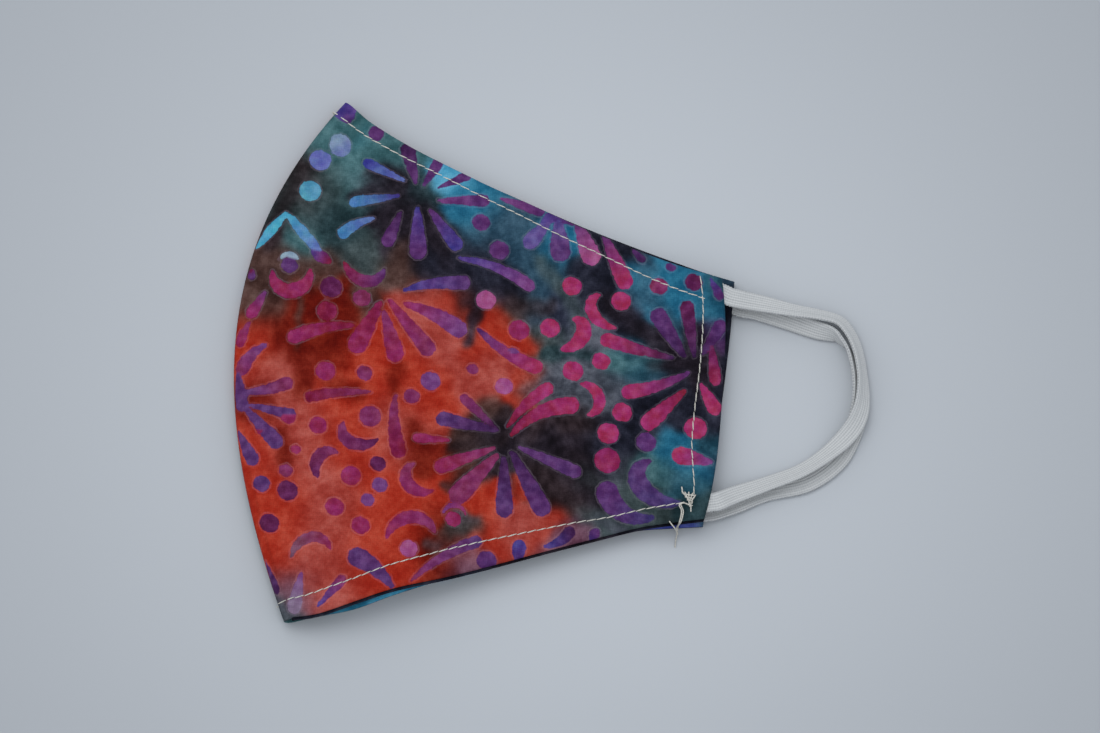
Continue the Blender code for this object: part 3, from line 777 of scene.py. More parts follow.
def waxed(places):
    """How far places are outside the nearest motif, in pixels, and that motif's dye there."""
    edge = np.full(len(places), PRINT_MARGIN)
    colour = np.tile(linear("magenta"), (len(places), 1))
    for discs, radii, from_dye, to_dye in motifs():
        low = (discs - radii[:, None]).min(axis=0) - PRINT_MARGIN
        high = (discs + radii[:, None]).max(axis=0) + PRINT_MARGIN
        near = np.flatnonzero(((places > low) & (places < high)).all(axis=1))
        if not len(near):
            continue
        points = places[near]
        best = np.full(len(near), PRINT_MARGIN)
        share = np.zeros(len(near))
        for k in range(CHAIN_STEPS - 1):
            run = discs[k + 1] - discs[k]
            t = np.clip((points - discs[k]) @ run / (run @ run), 0, 1)
            off = lengths(points - discs[k] - t[:, None] * run)
            off = off - radii[k] - (radii[k + 1] - radii[k]) * t
            closer = off < best
            best[closer] = off[closer]
            share[closer] = ((k + t) / (CHAIN_STEPS - 1))[closer]
        inside = best < edge[near]
        at = near[inside]
        edge[at] = best[inside]
        mix = share[inside][:, None]
        colour[at] = linear(from_dye) * (1 - mix) + linear(to_dye) * mix
    return edge, colour


def drifted(places, size, seed):
    """Smooth random shifts of places, which change over this many pixels."""
    scaled = [Vector((x / size, y / size, seed)) for x, y in places]
    return np.array([noise.noise_vector(place)[:2] for place in scaled])


def washed(places, washes, seed):
    """The drifting ground dye at places."""
    shift = drifted(places, WASH_WARP_SIZE, seed) * WASH_WARP
    places = places + shift + drifted(places, FINE_WARP_SIZE, seed) * WASH_WARP * FINE_WARP_SHARE
    total = np.full(len(places), TINY)
    colour = np.zeros((len(places), 3))
    for row in washes:
        start = np.array((row["x1"], row["y1"]), float)
        run = np.array((row.get("x2", start[0]), row.get("y2", start[1]))) - start
        along = np.clip((places - start) @ run / max(run @ run, TINY), 0, 1)
        far = ((places - start - along[:, None] * run) ** 2).sum(axis=1)
        weight = row["strength"] * np.exp(-WASH_FALL * far / row["drift"] ** 2)
        weight = weight + row["strength"] * FAR_SHARE / (1 + far / FAR_DRIFT**2)
        total += weight
        colour += weight[:, None] * linear(row["dye"]) ** (1 / MIXING_GAMMA)
    return (colour / total[:, None]) ** MIXING_GAMMA


WAX_LINE = "#8f7c90"
WAX_FEATHER = 1.1 * MM
WAX_EDGE = 0.14 * MM
LINE_STARTS, LINE_FULL, LINE_FADES, LINE_ENDS = 0.05 * MM, 0.2 * MM, 0.25 * MM, 0.7 * MM
BROAD_CLOUDS, DYE_CLOUDS, HUE_CLOUDS, SPECKS = 10 * MM, 2.6 * MM, 4.5 * MM, 1.3 * MM
THREAD_PITCH = 0.62 * MM
WEAVE_RELIEF = 0.09 * MM
OUTER_GROUND = rows(WASH_COLUMNS, WASHES) + rows(STREAK_COLUMNS, STREAKS)
LOWER_LINING_GROUND = rows(WASH_COLUMNS, LINING_WASHES)
UPPER_LINING_GROUND_AND_CHIN_SHADOW = rows(WASH_COLUMNS, UPPER_LINING_WASHES_AND_CHIN_SHADOW)


def stripes(tree, place, pitch, way, **inputs):
    """Even stripes, one at each pitch. The wave node turns by 20 radians a unit."""
    inputs = {"Vector": place, "Scale": 2 * math.pi / (20 * pitch), **inputs}
    return add(tree, "ShaderNodeTexWave", inputs, bands_direction=way).outputs["Fac"]


def quilting_cotton(name):
    """Plain-woven cotton, resist printed and piece dyed, which gives soft uneven washes, feathered
    motif edges with a thin pale line where the wax stood, and a matt face of fine threads."""
    material, tree, shader = new_material(name)
    place = add(tree, "ShaderNodeUVMap", uv_map="cloth").outputs["UV"]
    edge = add(tree, "ShaderNodeAttribute", attribute_name="motif_edge").outputs["Fac"]
    motif = add(tree, "ShaderNodeAttribute", attribute_name="motif_dye").outputs["Color"]
    ground = add(tree, "ShaderNodeAttribute", attribute_name="ground_dye").outputs["Color"]

    def cloud(size, detail, roughness=0.55):
        inputs = {"Vector": place, "Scale": 1 / size, "Detail": detail, "Roughness": roughness}
        return add(tree, "ShaderNodeTexNoise", inputs).outputs["Fac"]

    def ramp(value, low, high, to_low, to_high):
        inputs = {"Value": value, "From Min": low, "From Max": high, "To Min": to_low, "To Max": to_high}
        return add(tree, "ShaderNodeMapRange", inputs, interpolation_type="SMOOTHSTEP").outputs[0]

    def times(a, b):
        return maths(tree, "MULTIPLY", a, b)

    def deeper(colour, size, thin, deep):
        """The colour where dye lay thinner and deeper, in clouds of this size."""
        inputs = {"Color": colour, "Gamma": ramp(cloud(size, 6.0, 0.62), 0.3, 0.7, thin, deep)}
        return add(tree, "ShaderNodeGamma", inputs).outputs["Color"]

    def brighter(colour, value):
        return add(tree, "ShaderNodeHueSaturation", {"Color": colour, "Value": value}).outputs["Color"]

    # The wax edge feathers by up to half a millimetre, and left a pale line just outside it
    feather = times(maths(tree, "SUBTRACT", cloud(1.6 * MM, 4.0), 0.5), WAX_FEATHER)
    crept = maths(tree, "ADD", edge, feather)
    inside = ramp(crept, WAX_EDGE, -WAX_EDGE, 0.0, 1.0)
    starts = ramp(crept, LINE_STARTS, LINE_FULL, 0.0, 1.0)
    line = times(starts, ramp(crept, LINE_FADES, LINE_ENDS, 1.0, 0.0))
    line = times(line, ramp(cloud(5 * MM, 2.0), 0.35, 0.65, 0.1, 0.6))
    ground = deeper(deeper(ground, BROAD_CLOUDS, 0.84, 1.25), DYE_CLOUDS, 0.92, 1.1)
    pale = mixed(tree, 0.3, brighter(ground, 1.45), dye(WAX_LINE))
    ground = mixed(tree, line, ground, pale)
    inputs = {
        "Color": deeper(motif, DYE_CLOUDS, 0.84, 1.2),
        "Hue": ramp(cloud(HUE_CLOUDS, 3.0), 0.3, 0.7, 0.482, 0.51),
        "Value": ramp(cloud(SPECKS, 4.0, 0.7), 0.3, 0.7, 0.9, 1.12),
    }
    motif = add(tree, "ShaderNodeHueSaturation", inputs).outputs["Color"]
    printed = mixed(tree, inside, ground, motif)

    # Threads lie about 0.35 mm apart, and are drawn further apart so that they show
    weft = stripes(tree, place, THREAD_PITCH, "X", Distortion=0.8, Detail=1.0)
    warp = stripes(tree, place, THREAD_PITCH, "Y", Distortion=0.8, Detail=1.0)
    weave = times(maths(tree, "ADD", weft, warp), 0.5)
    fibre = ramp(cloud(0.7 * MM, 2.0, 0.7), 0.25, 0.75, 0.9, 1.1)
    relief = maths(tree, "ADD", times(weave, 0.5), times(cloud(1.1 * MM, 3.0), 0.6))
    bump = add(tree, "ShaderNodeBump", {"Height": relief, "Strength": 0.4, "Distance": WEAVE_RELIEF})
    finish = {
        # The base colour is painted lighter on the thread crowns and darker between them, as painted
        # shade, and varies at random with the fibres
        "Base Color": brighter(printed, times(ramp(weave, 0.0, 1.0, 0.95, 1.05), fibre)),
        "Normal": bump.outputs["Normal"],
        "Roughness": ramp(weave, 0.0, 1.0, 0.95, 0.84),
        "Specular IOR Level": 0.07,
        "Sheen Weight": 0.01,
        "Sheen Roughness": 0.5,
    }
    feed(tree, shader, finish)
    return material


def cloth_mesh(name, under, over, flat, chart, washes, seed, motif_shift=0.0, bare=0.0):
    """A closed wall between two grids of points, with its flat places as UVs and its print, by the
    chart. The motifs' chart may be shifted, and bare keeps the motifs off by a distance."""
    across, along = over.shape[:2]
    points = np.concatenate([over.reshape(-1, 3), under.reshape(-1, 3)])
    index = np.arange(across * along).reshape(across, along)
    a, b = index[:-1, :-1].ravel(), index[1:, :-1].ravel()
    c, d = index[1:, 1:].ravel(), index[:-1, 1:].ravel()
    half = across * along
    top = np.stack([a, b, c, d], axis=1)
    bottom = np.stack([d, c, b, a], axis=1) + half
    border = np.concatenate([index[:, 0], index[-1, 1:], index[-2::-1, -1], index[0, -2:0:-1]])
    after = np.roll(border, -1)
    rim = np.stack([border, border + half, after + half, after], axis=1)
    faces = np.concatenate([top, bottom, rim])
    mesh = bpy.data.meshes.new(name)
    mesh.vertices.add(len(points))
    mesh.vertices.foreach_set("co", points.ravel())
    mesh.loops.add(faces.size)
    mesh.loops.foreach_set("vertex_index", faces.ravel())
    mesh.polygons.add(len(faces))
    mesh.polygons.foreach_set("loop_start", np.arange(0, faces.size, 4))
    mesh.update(calc_edges=True)
    mesh.shade_smooth()
    flat = np.tile(flat.reshape(-1, 2), (2, 1))
    mesh.uv_layers.new(name="cloth").data.foreach_set("uv", flat[faces.ravel()].ravel())
    chart = chart.reshape(-1, 2)
    edge, motif = waxed(chart + motif_shift)
    ground = washed(chart, washes, seed)
    edges = mesh.attributes.new("motif_edge", "FLOAT", "POINT")
    edges.data.foreach_set("value", np.tile(edge * PIXEL + bare, 2))
    for attribute, colour in (("motif_dye", motif), ("ground_dye", ground)):
        layer = mesh.attributes.new(attribute, "FLOAT_COLOR", "POINT")
        full = np.concatenate([colour, np.ones((len(colour), 1))], axis=1)
        layer.data.foreach_set("color", np.tile(full, (2, 1)).ravel())
    return mesh


def smoothstep(x):
    x = np.clip(x, 0.0, 1.0)
    return x * x * (3.0 - 2.0 * x)


CLOTH_SHOWN = 0.6 * MM
EDGE_SHOWN = 0.14 * MM
EDGE_ROLL = 1.6 * MM
ROLL_EASE = 6.0 * MM


def rolled(plan, lower):
    """How far a half's outer panel and lining have parted at each place: not at all at the free
    edges, where they were sewn face to face and turned, and fully a little way in."""
    share = np.clip(off_edges(plan, lower) / EDGE_ROLL, 0, 1)
    parted = np.sqrt(1 - (1 - share) ** 2)
    from_fold = smoothstep((plan[..., 0] - plan[:1, :, 0]) / ROLL_EASE)
    return 1 - (1 - parted) * from_fold


def with_height(plan, z):
    return np.concatenate([plan, np.broadcast_to(z, plan.shape[:-1])[..., None]], axis=-1)


FOLD_STEPS = 9


def fold_turn(v, radius, lower):
    """The columns of a panel's face that turn round the centre seam, and their flat places."""
    reach = reach_at(v, lower)
    faces, flats = [], []
    for k in range(FOLD_STEPS):
        turn = math.pi / 2 * k / FOLD_STEPS
        u = (FOLD_RADIUS - radius * math.cos(turn)) / reach
        rise = max(radius * math.sin(turn), PLY_GAP / 2)
        faces.append(with_height(cut_point(u, v, lower), FOLD_RADIUS + (-rise if lower else rise)))
        flats.append(cut_point((FOLD_RADIUS - radius * (math.pi / 2 - turn)) / reach, v, lower))
    return np.array(faces), np.array(flats)


def panel(name, mesh, material, node):
    """A cloth panel in place of its CAD node, which it hides."""
    piece = put(name, mesh, material)
    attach(piece, "root")
    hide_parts(node)
    size, area = cut_size(lower=node.startswith("right"))
    return piece


# The right half
# It lies on the table: the outer panel face down, and its lining on top of it, facing the fold.
# The two were sewn face to face and turned, so their edges are rolled together.

RIGHT_CELLS = (120, 130)
RIGHT_SEED = 3.0
u, v = pattern_grid(*RIGHT_CELLS, lower=True)
plan = cut_point(u, v, lower=True)
parted = rolled(plan, lower=True)
lining_floor = node_heights("right_lining", plan, upward=True) + (CLOTH_THICK - CLOTH_SHOWN) / 2
meeting = (lining_floor + CLOTH_SHOWN) / 2
turn_out, turn_flat = fold_turn(v[0], FOLD_RADIUS, lower=True)
turn_in, _ = fold_turn(v[0], FOLD_RADIUS - CLOTH_SHOWN, lower=True)
under = np.concatenate([turn_out, with_height(plan, (meeting - EDGE_SHOWN) * (1 - parted))])
over = with_height(plan, meeting * (1 - parted) + CLOTH_SHOWN * parted)
over = np.concatenate([turn_in, over])
flat = np.concatenate([turn_flat, plan])
chart = in_picture(with_height(flat, 0.0)) * (1, -1) + (0, PICTURE_SIZE[1])
printed_cotton = quilting_cotton("resist_printed_quilting_cotton")
right_outer = panel(
    "right_outer_cloth",
    cloth_mesh("right_outer_cloth", under, over, flat, chart, OUTER_GROUND, RIGHT_SEED),
    printed_cotton,
    "right_outer",
)

LINING_CHART_SHIFT = np.array((230.0, -120.0))
LINING_SEED = 5.0
PLAIN_EDGE = 7.0 * MM


def lining_mesh(name, under, over, plan, height, lower):
    """A lining, whose washes are charted where the picture shows them and its motifs elsewhere.
    No motif falls on its edges."""
    chart = in_picture(with_height(plan, height))
    washes = LOWER_LINING_GROUND if lower else UPPER_LINING_GROUND_AND_CHIN_SHADOW
    bare = np.clip(1 - off_edges(plan, lower) / PLAIN_EDGE, 0, 1) * PRINT_MARGIN * PIXEL
    return cloth_mesh(
        name, under, over, plan, chart, washes, LINING_SEED, LINING_CHART_SHIFT, bare.ravel()
    )


lining_under = meeting * (1 - parted) + lining_floor * parted
lining_over = (meeting + EDGE_SHOWN) * (1 - parted) + (lining_floor + CLOTH_SHOWN) * parted
lining_cotton = quilting_cotton("resist_printed_lining_cotton")
right_lining = panel(
    "right_lining_cloth",
    lining_mesh(
        "right_lining_cloth",
        with_height(plan, lining_under),
        with_height(plan, lining_over),
        plan,
        lining_over,
        True,
    ),
    lining_cotton,
    "right_lining",
)


# The left half
# It lies over the right one and arches off it where the face goes. Its lining faces the fold, and
# its outer panel is the one that shows, with soft waves from wear and puckers along the stitching.

LEFT_CELLS = (200, 204)
LEFT_SEED = 1.0
STEP_DOWN = 2
LINING_SHOWS = 0.8 * MM
# As shares from the chin edge and from the seam
LINING_SHOWS_OVER, LINING_SHOWS_FROM = 0.1, 0.06
WAVE_HEIGHT = 0.4 * MM
WAVE_EASE = 14 * MM
BROAD_WAVES = {"across": 9 * MM, "sway": 17 * MM, "along": 14 * MM, "skew": 31 * MM}
FINE_WAVES = {"across": 5.5 * MM, "along": 8 * MM, "skew": 12 * MM}
SWAY = 1.4
FINE_SHARE = 0.6
SEAM_SUNK, SEAM_GROOVE = 0.26 * MM, 0.6 * MM
# Puckers run beside the stitching, at this share of the way from the edge
PUCKER_PLACE = 0.55
PUCKER_HEIGHT, PUCKER_REACH, PUCKER_LENGTH = 0.12 * MM, 2.4 * MM, 0.8 * MM
PUCKER_SWAY, PUCKER_SWAY_LENGTH = 2.2, 6.1 * MM


def soft_waves(plan):
    """The low waves that wearing and folding leave in the upper half."""
    x, y = plan[..., 0], plan[..., 1]
    broad, fine = BROAD_WAVES, FINE_WAVES
    rise = np.sin(x / broad["across"] + SWAY * np.sin(y / broad["sway"]))
    rise = rise * np.sin(y / broad["along"] + x / broad["skew"])
    ripple = np.sin(x / fine["across"] - y / fine["skew"]) * np.sin(y / fine["along"])
    return WAVE_HEIGHT * (rise + FINE_SHARE * ripple)


def stitched_in(plan, lower):
    """How the stitching sinks a half's outer face and puckers it between there and the edge."""
    points = plan.reshape(-1, 2)
    sunk = np.zeros(len(points))
    for edge, line in edge_lines(lower).items():
        off, along = near_line(points, line)
        inset = stitch_inset(edge, np.clip(along / along.max(), 0, 1))
        groove = np.exp(-(((off - inset) / SEAM_GROOVE) ** 2))
        between = np.exp(-(((off - inset * PUCKER_PLACE) / PUCKER_REACH) ** 2))
        sway = PUCKER_SWAY * np.sin(along / PUCKER_SWAY_LENGTH)
        gather = np.sin(along / PUCKER_LENGTH + sway)
        sunk += PUCKER_HEIGHT * between * gather - SEAM_SUNK * groove
    return sunk.reshape(plan.shape[:2])


u, v = pattern_grid(*LEFT_CELLS, lower=False)
plan = cut_point(u, v, lower=False)
parted = rolled(plan, lower=False)
waves = soft_waves(plan) * smoothstep((plan[..., 0] - plan[:1, :, 0]) / WAVE_EASE)
lining_floor = node_heights("left_lining", plan, upward=True) + (CLOTH_THICK - CLOTH_SHOWN) / 2
lining_floor = lining_floor + waves
face = node_heights("left_outer", plan) + waves
meeting = (lining_floor + face) / 2
lining_under = (meeting - EDGE_SHOWN) * (1 - parted) + lining_floor * parted
lining_over = meeting * (1 - parted) + (lining_floor + CLOTH_SHOWN) * parted
# The lining rolls out past the chin edge as a dark sliver, partly dark dye and partly painted shadow
# under the edge
rolled_out = LINING_SHOWS * np.clip(1 - v / LINING_SHOWS_OVER, 0, 1)
rolled_out = rolled_out * smoothstep(u / LINING_SHOWS_FROM)
span = lengths(plan[:, -1] - plan[:, 0])[:, None]
plan_in = cut_point(u, v - rolled_out / span, lower=False)
left_lining = panel(
    "left_lining_cloth",
    lining_mesh(
        "left_lining_cloth",
        with_height(plan_in, lining_under)[::STEP_DOWN, ::STEP_DOWN],
        with_height(plan_in, lining_over)[::STEP_DOWN, ::STEP_DOWN],
        plan_in[::STEP_DOWN, ::STEP_DOWN],
        lining_over[::STEP_DOWN, ::STEP_DOWN],
        False,
    ),
    lining_cotton,
    "left_lining",
)

sunk = stitched_in(plan, lower=False) * parted
over_field = (meeting + EDGE_SHOWN) * (1 - parted) + face * parted + sunk
under_field = meeting * (1 - parted) + (face - CLOTH_SHOWN) * parted + np.minimum(sunk, 0)
turn_out, turn_flat = fold_turn(v[0], FOLD_RADIUS, lower=False)
turn_in, _ = fold_turn(v[0], FOLD_RADIUS - CLOTH_SHOWN, lower=False)
over = np.concatenate([turn_out, with_height(plan, over_field)])
under = np.concatenate([turn_in, with_height(plan, under_field)])
flat = np.concatenate([turn_flat, plan])
chart = in_picture(with_height(flat, over[..., 2]))
left_outer = panel(
    "left_outer_cloth",
    cloth_mesh("left_outer_cloth", under, over, flat, chart, OUTER_GROUND, LEFT_SEED),
    printed_cotton,
    "left_outer",
)


# The ear loops
# Flat knitted elastic, white, stitched into the hems at both ends. The left one swings out and
# back, and the right one turns over once under it. Rows run from the nose tail to the chin tail.

ELASTIC_WIDTH = 5.4 * MM
ELASTIC_THICK = 1.0 * MM
TAIL_LENGTH = 6.0 * MM
TAIL_EXIT = 3.0 * MM
LOOP_REACH = 43.0 * MM
FLOOR_GAP = 0.1 * MM
LEFT_TAILS = (0.880, -0.860)
RIGHT_TAILS = (0.835, -0.905)
LOOP_COLUMNS = (
    "reach", "height", "left_tilt", "left_lift", "left_over", "side", "right_tilt", "right_lift"
)
LOOP_ROWS = (
    (0.233, 0.844, -12.0, 0.70, 0.0, -0.24, 8.0, 0.12),
    (0.465, 0.814, -34.0, 0.52, 0.0, -0.44, 20.0, 0.03),
    (0.644, 0.803, -44.0, 0.38, 0.0, -0.74, 36.0, 0.02),
    (0.784, 0.778, -48.0, 0.25, 0.0, -0.82, 60.0, 0.02),
    (0.865, 0.694, -52.0, 0.18, 0.0, -0.66, 84.0, 0.02),
    (0.930, 0.560, -58.0, 0.10, 0.2, -0.42, 106.0, 0.02),
    (0.976, 0.380, -60.0, 0.03, 0.5, -0.28, 119.0, 0.02),
    (1.000, 0.194, -50.0, 0.05, 0.7, -0.22, 130.0, 0.02),
    (0.992, 0.023, -30.0, 0.14, 0.9, -0.12, 150.0, 0.02),
    (0.937, -0.134, -8.0, 0.17, 1.0, 0.14, 171.0, 0.02),
    (0.817, -0.313, 22.0, 0.06, 0.9, 0.58, 179.0, 0.02),
    (0.637, -0.490, 32.0, 0.01, 0.6, 0.64, 180.0, 0.02),
    (0.398, -0.640, 26.0, 0.05, 0.9, 0.30, 180.0, 0.02),
    (0.205, -0.756, 10.0, 0.30, 1.0, 0.36, 180.0, 0.12),
)
BAND_STEPS_PER_ROW = 24
BAND_POINTS = 41
BAND_RIBS = 7
COURSE_PITCH = 0.65 * MM
# As shares of the band's half width and half thickness
RIB_DEPTH = 0.16
GROOVES = (-0.34, 0.38)
GROOVE_DEPTH, GROOVE_WIDTH = 0.3, 0.05
EDGE_ROUND, EDGE_THIN = 0.12, 0.25
EDGE_LOOPS_AT = 0.985
ELASTIC_PAINTED_SHADE_GREY, ELASTIC_LIT_WHITE = "#a3a5a6", "#c3c4c3"
PROBE_IN = 1.0 * MM


def band_section():
    """A band's outline, cut across: ribs, two deeper grooves and rounded edges."""
    across = np.linspace(-1, 1, BAND_POINTS)
    edge = np.clip((1 - np.abs(across)) / EDGE_ROUND, 0, 1)
    thick = EDGE_THIN + (1 - EDGE_THIN) * np.sqrt(1 - (1 - edge) ** 2)
    thick *= 1 - RIB_DEPTH * (0.5 + 0.5 * np.cos(math.pi * BAND_RIBS * (across + 1)))
    for groove in GROOVES:
        thick *= 1 - GROOVE_DEPTH * np.exp(-(((across - groove) / GROOVE_WIDTH) ** 2))
    face, back = np.stack([across, thick], axis=1), np.stack([across, -thick], axis=1)
    return np.concatenate([face, back[::-1]])


def tail_points(height, lower):
    """A tail's stitched end, its place at the hem and a point just past it, at the band's middle."""
    nose_corner, chin_corner = hem_corners(lower)
    share = (height * HEM_HEIGHT / 2 - HEM_DROP - chin_corner[1]) / (nose_corner[1] - chin_corner[1])
    mouth = cut_point(np.array(1.0), np.array(share), lower)
    root = cut_point(np.array(0.0), np.array(share), lower)
    inward = unit(root - mouth)
    solid = surface_of(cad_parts["right_outer" if lower else "left_lining"])
    points = []
    for back in (TAIL_LENGTH, 0.0):
        place = mouth + inward * back
        floor = ray_height(solid, *(mouth + inward * max(back, PROBE_IN)))
        points.append(np.array([*place, floor + PLY_GAP + ELASTIC_THICK / 2]))
    return [*points, points[1] - (*inward * TAIL_EXIT, 0.0)]


def band_rows(side):
    """One band's middle points and tilts, from its nose tail to its chin tail."""
    lower = side == "right"
    nose_tail, chin_tail = RIGHT_TAILS if lower else LEFT_TAILS
    table = rows(LOOP_COLUMNS, LOOP_ROWS)
    route = np.array([(row["reach"], row["height"]) for row in table])
    route = route * (LOOP_REACH, HEM_HEIGHT / 2) + (HEM_REACH, -HEM_DROP)
    run = unit(np.gradient(route, axis=0))
    out = np.stack([-run[:, 1], run[:, 0]], axis=1)
    made = [(*point, 0.0) for point in tail_points(nose_tail, lower)]
    for row, place, aside in zip(table, route + PATTERN_ORIGIN, out):
        tilt = math.radians(row[side + "_tilt"])
        half = ELASTIC_WIDTH / 2 * abs(math.sin(tilt)) + ELASTIC_THICK / 2 * abs(math.cos(tilt))
        height = FLOOR_GAP + half + row[side + "_lift"] * ELASTIC_WIDTH
        if lower:
            place = place + aside * row["side"] * ELASTIC_WIDTH
        else:
            height += row["left_over"] * (ELASTIC_THICK + PLY_GAP)
        made.append((*place, height, tilt))
    last_tilt = math.pi if lower else 0.0
    made += [(*point, last_tilt) for point in reversed(tail_points(chin_tail, lower))]
    return np.array(made)


def tube_faces(rings, sides):
    """The faces of a closed tube of this many rings with this many points each."""
    faces = []
    for i in range(rings - 1):
        for k in range(sides):
            a, b = i * sides + k, i * sides + (k + 1) % sides
            faces.append((a, a + sides, b + sides, b))
    last = (rings - 1) * sides
    return [*faces, tuple(range(sides)), tuple(last + k for k in reversed(range(sides)))]


def band_mesh(name, band):
    """A flat band swept along its rows, with its length and width as UVs, in metres. Also gives
    its length and the two lines along its edges."""
    count = (len(band) - 1) * BAND_STEPS_PER_ROW + 1
    places, at = np.arange(len(band), dtype=float), np.linspace(0, len(band) - 1, count)
    plan = smooth_through(places, band[:, :2], at)
    height = smooth_through(places, band[:, 2:3], at, level=True)
    tilt = smooth_through(places, band[:, 3], at, level=True)
    middle = np.concatenate([plan, height], axis=1)
    run = unit(np.gradient(middle, axis=0))
    flat_run = unit(run[:, :2])
    out = np.stack([-flat_run[:, 1], flat_run[:, 0], np.zeros(count)], axis=1)
    up = np.cross(run, out)
    across = out * np.cos(tilt)[:, None] + up * np.sin(tilt)[:, None]
    through = np.cross(run, across)
    ring = band_section()
    length = np.concatenate([[0], np.cumsum(lengths(np.diff(middle, axis=0)))])
    points = (
        middle[:, None]
        + across[:, None] * (ring[None, :, :1] * ELASTIC_WIDTH / 2)
        + through[:, None] * (ring[None, :, 1:] * ELASTIC_THICK / 2)
    )
    mesh = bpy.data.meshes.new(name)
    mesh.from_pydata([tuple(p) for p in points.reshape(-1, 3)], [], tube_faces(count, len(ring)))
    mesh.shade_smooth()
    aside = np.tile(ring[:, 0] * ELASTIC_WIDTH / 2, count)
    uv = np.stack([np.repeat(length, len(ring)), aside], axis=1)
    order = np.zeros(len(mesh.loops), dtype=int)
    mesh.loops.foreach_get("vertex_index", order)
    mesh.uv_layers.new(name="band").data.foreach_set("uv", uv[order].ravel())
    edges = [middle + across * (side * ELASTIC_WIDTH / 2 * EDGE_LOOPS_AT) for side in (-1, 1)]
    return mesh, length[-1], edges


def knitted_elastic():
    """White polyester knitted over rubber, which gives fine ribs along the band, rows of tiny loops
    across it and a matt, slightly warm white, with painted shade in grey between the loops."""
    material, tree, shader = new_material("knitted_white_elastic")
    place = add(tree, "ShaderNodeUVMap", uv_map="band").outputs["UV"]
    inputs = {"Vector": place, "Scale": 1 / (0.8 * MM), "Detail": 4.0, "Roughness": 0.65}
    fluff = add(tree, "ShaderNodeTexNoise", inputs).outputs["Fac"]
    courses = stripes(tree, place, COURSE_PITCH, "X", Distortion=2.0)
    ribs = stripes(tree, place, ELASTIC_WIDTH / BAND_RIBS, "Y", Distortion=0.5)
    knit = maths(tree, "ADD", maths(tree, "MULTIPLY", courses, 0.4), ribs)
    knit = maths(tree, "ADD", knit, fluff)
    # Painted shade: the knit's low places are painted grey, with random tone from the fluff
    inputs = {"Value": knit, "From Min": 0.4, "From Max": 1.7}
    painted_shading = add(tree, "ShaderNodeMapRange", inputs).outputs[0]
    bump = add(tree, "ShaderNodeBump", {"Height": knit, "Strength": 0.5, "Distance": 0.1 * MM})
    finish = {
        "Base Color": mixed(tree, painted_shading, dye(ELASTIC_PAINTED_SHADE_GREY), dye(ELASTIC_LIT_WHITE)),
        "Normal": bump.outputs["Normal"],
        "Roughness": 0.85,
        "Specular IOR Level": 0.2,
        "Sheen Weight": 0.05,
    }
    feed(tree, shader, finish)
    return material


GRAIN_SIZES = ("pitch", "length", "width", "height", "slant", "wobble")


def grain_tree():
    """Small grains set along lines. Each line is stepped at the pitch, and each step carries one
    grain, turned along the line, slanted to it, and tilted a little at random."""
    tree = bpy.data.node_groups.new("grains_along_lines", "GeometryNodeTree")
    tree.interface.new_socket("lines", in_out="INPUT", socket_type="NodeSocketGeometry")
    for size in GRAIN_SIZES:
        tree.interface.new_socket(size, in_out="INPUT", socket_type="NodeSocketFloat")
    tree.interface.new_socket("finish", in_out="INPUT", socket_type="NodeSocketMaterial")
    tree.interface.new_socket("grains", in_out="OUTPUT", socket_type="NodeSocketGeometry")
    given = add(tree, "NodeGroupInput").outputs
    line = add(tree, "GeometryNodeMeshToCurve", {"Mesh": given["lines"]}).outputs[0]
    inputs = {"Curve": line, "Length": given["pitch"]}
    steps = add(tree, "GeometryNodeResampleCurve", inputs, mode="LENGTH").outputs[0]
    inputs = {"Segments": 8, "Rings": 6, "Radius": 0.5}
    ball = add(tree, "GeometryNodeMeshUVSphere", inputs).outputs["Mesh"]
    inputs = {"X": given["length"], "Y": given["width"], "Z": given["height"]}
    size = add(tree, "ShaderNodeCombineXYZ", inputs).outputs[0]
    grain = add(tree, "GeometryNodeTransform", {"Geometry": ball, "Scale": size}).outputs[0]
    run = add(tree, "GeometryNodeInputTangent").outputs[0]
    turn = add(tree, "FunctionNodeAlignRotationToVector", {"Vector": run}, axis="X").outputs[0]
    inputs = {0: (-1.0, -1.0, -1.0), 1: (1.0, 1.0, 1.0), "Seed": 7}
    chance = add(tree, "FunctionNodeRandomValue", inputs, data_type="FLOAT_VECTOR").outputs[0]
    inputs = {0: chance, "Scale": given["wobble"]}
    tilt = add(tree, "ShaderNodeVectorMath", inputs, operation="SCALE").outputs[0]
    slant = add(tree, "ShaderNodeCombineXYZ", {"Z": given["slant"]}).outputs[0]
    tilt = add(tree, "ShaderNodeVectorMath", {0: tilt, 1: slant}).outputs[0]
    tilt = add(tree, "FunctionNodeEulerToRotation", {0: tilt}).outputs[0]
    inputs = {"Rotation": turn, "Rotate By": tilt}
    turn = add(tree, "FunctionNodeRotateRotation", inputs, rotation_space="LOCAL").outputs[0]
    inputs = {"Points": steps, "Instance": grain, "Rotation": turn}
    placed = add(tree, "GeometryNodeInstanceOnPoints", inputs).outputs[0]
    real = add(tree, "GeometryNodeRealizeInstances", {"Geometry": placed}).outputs[0]
    smooth = add(tree, "GeometryNodeSetShadeSmooth", {"Geometry": real}).outputs[0]
    inputs = {"Geometry": smooth, "Material": given["finish"]}
    done = add(tree, "GeometryNodeSetMaterial", inputs).outputs[0]
    add(tree, "NodeGroupOutput", {"grains": done})
    return tree


grain_group = grain_tree()


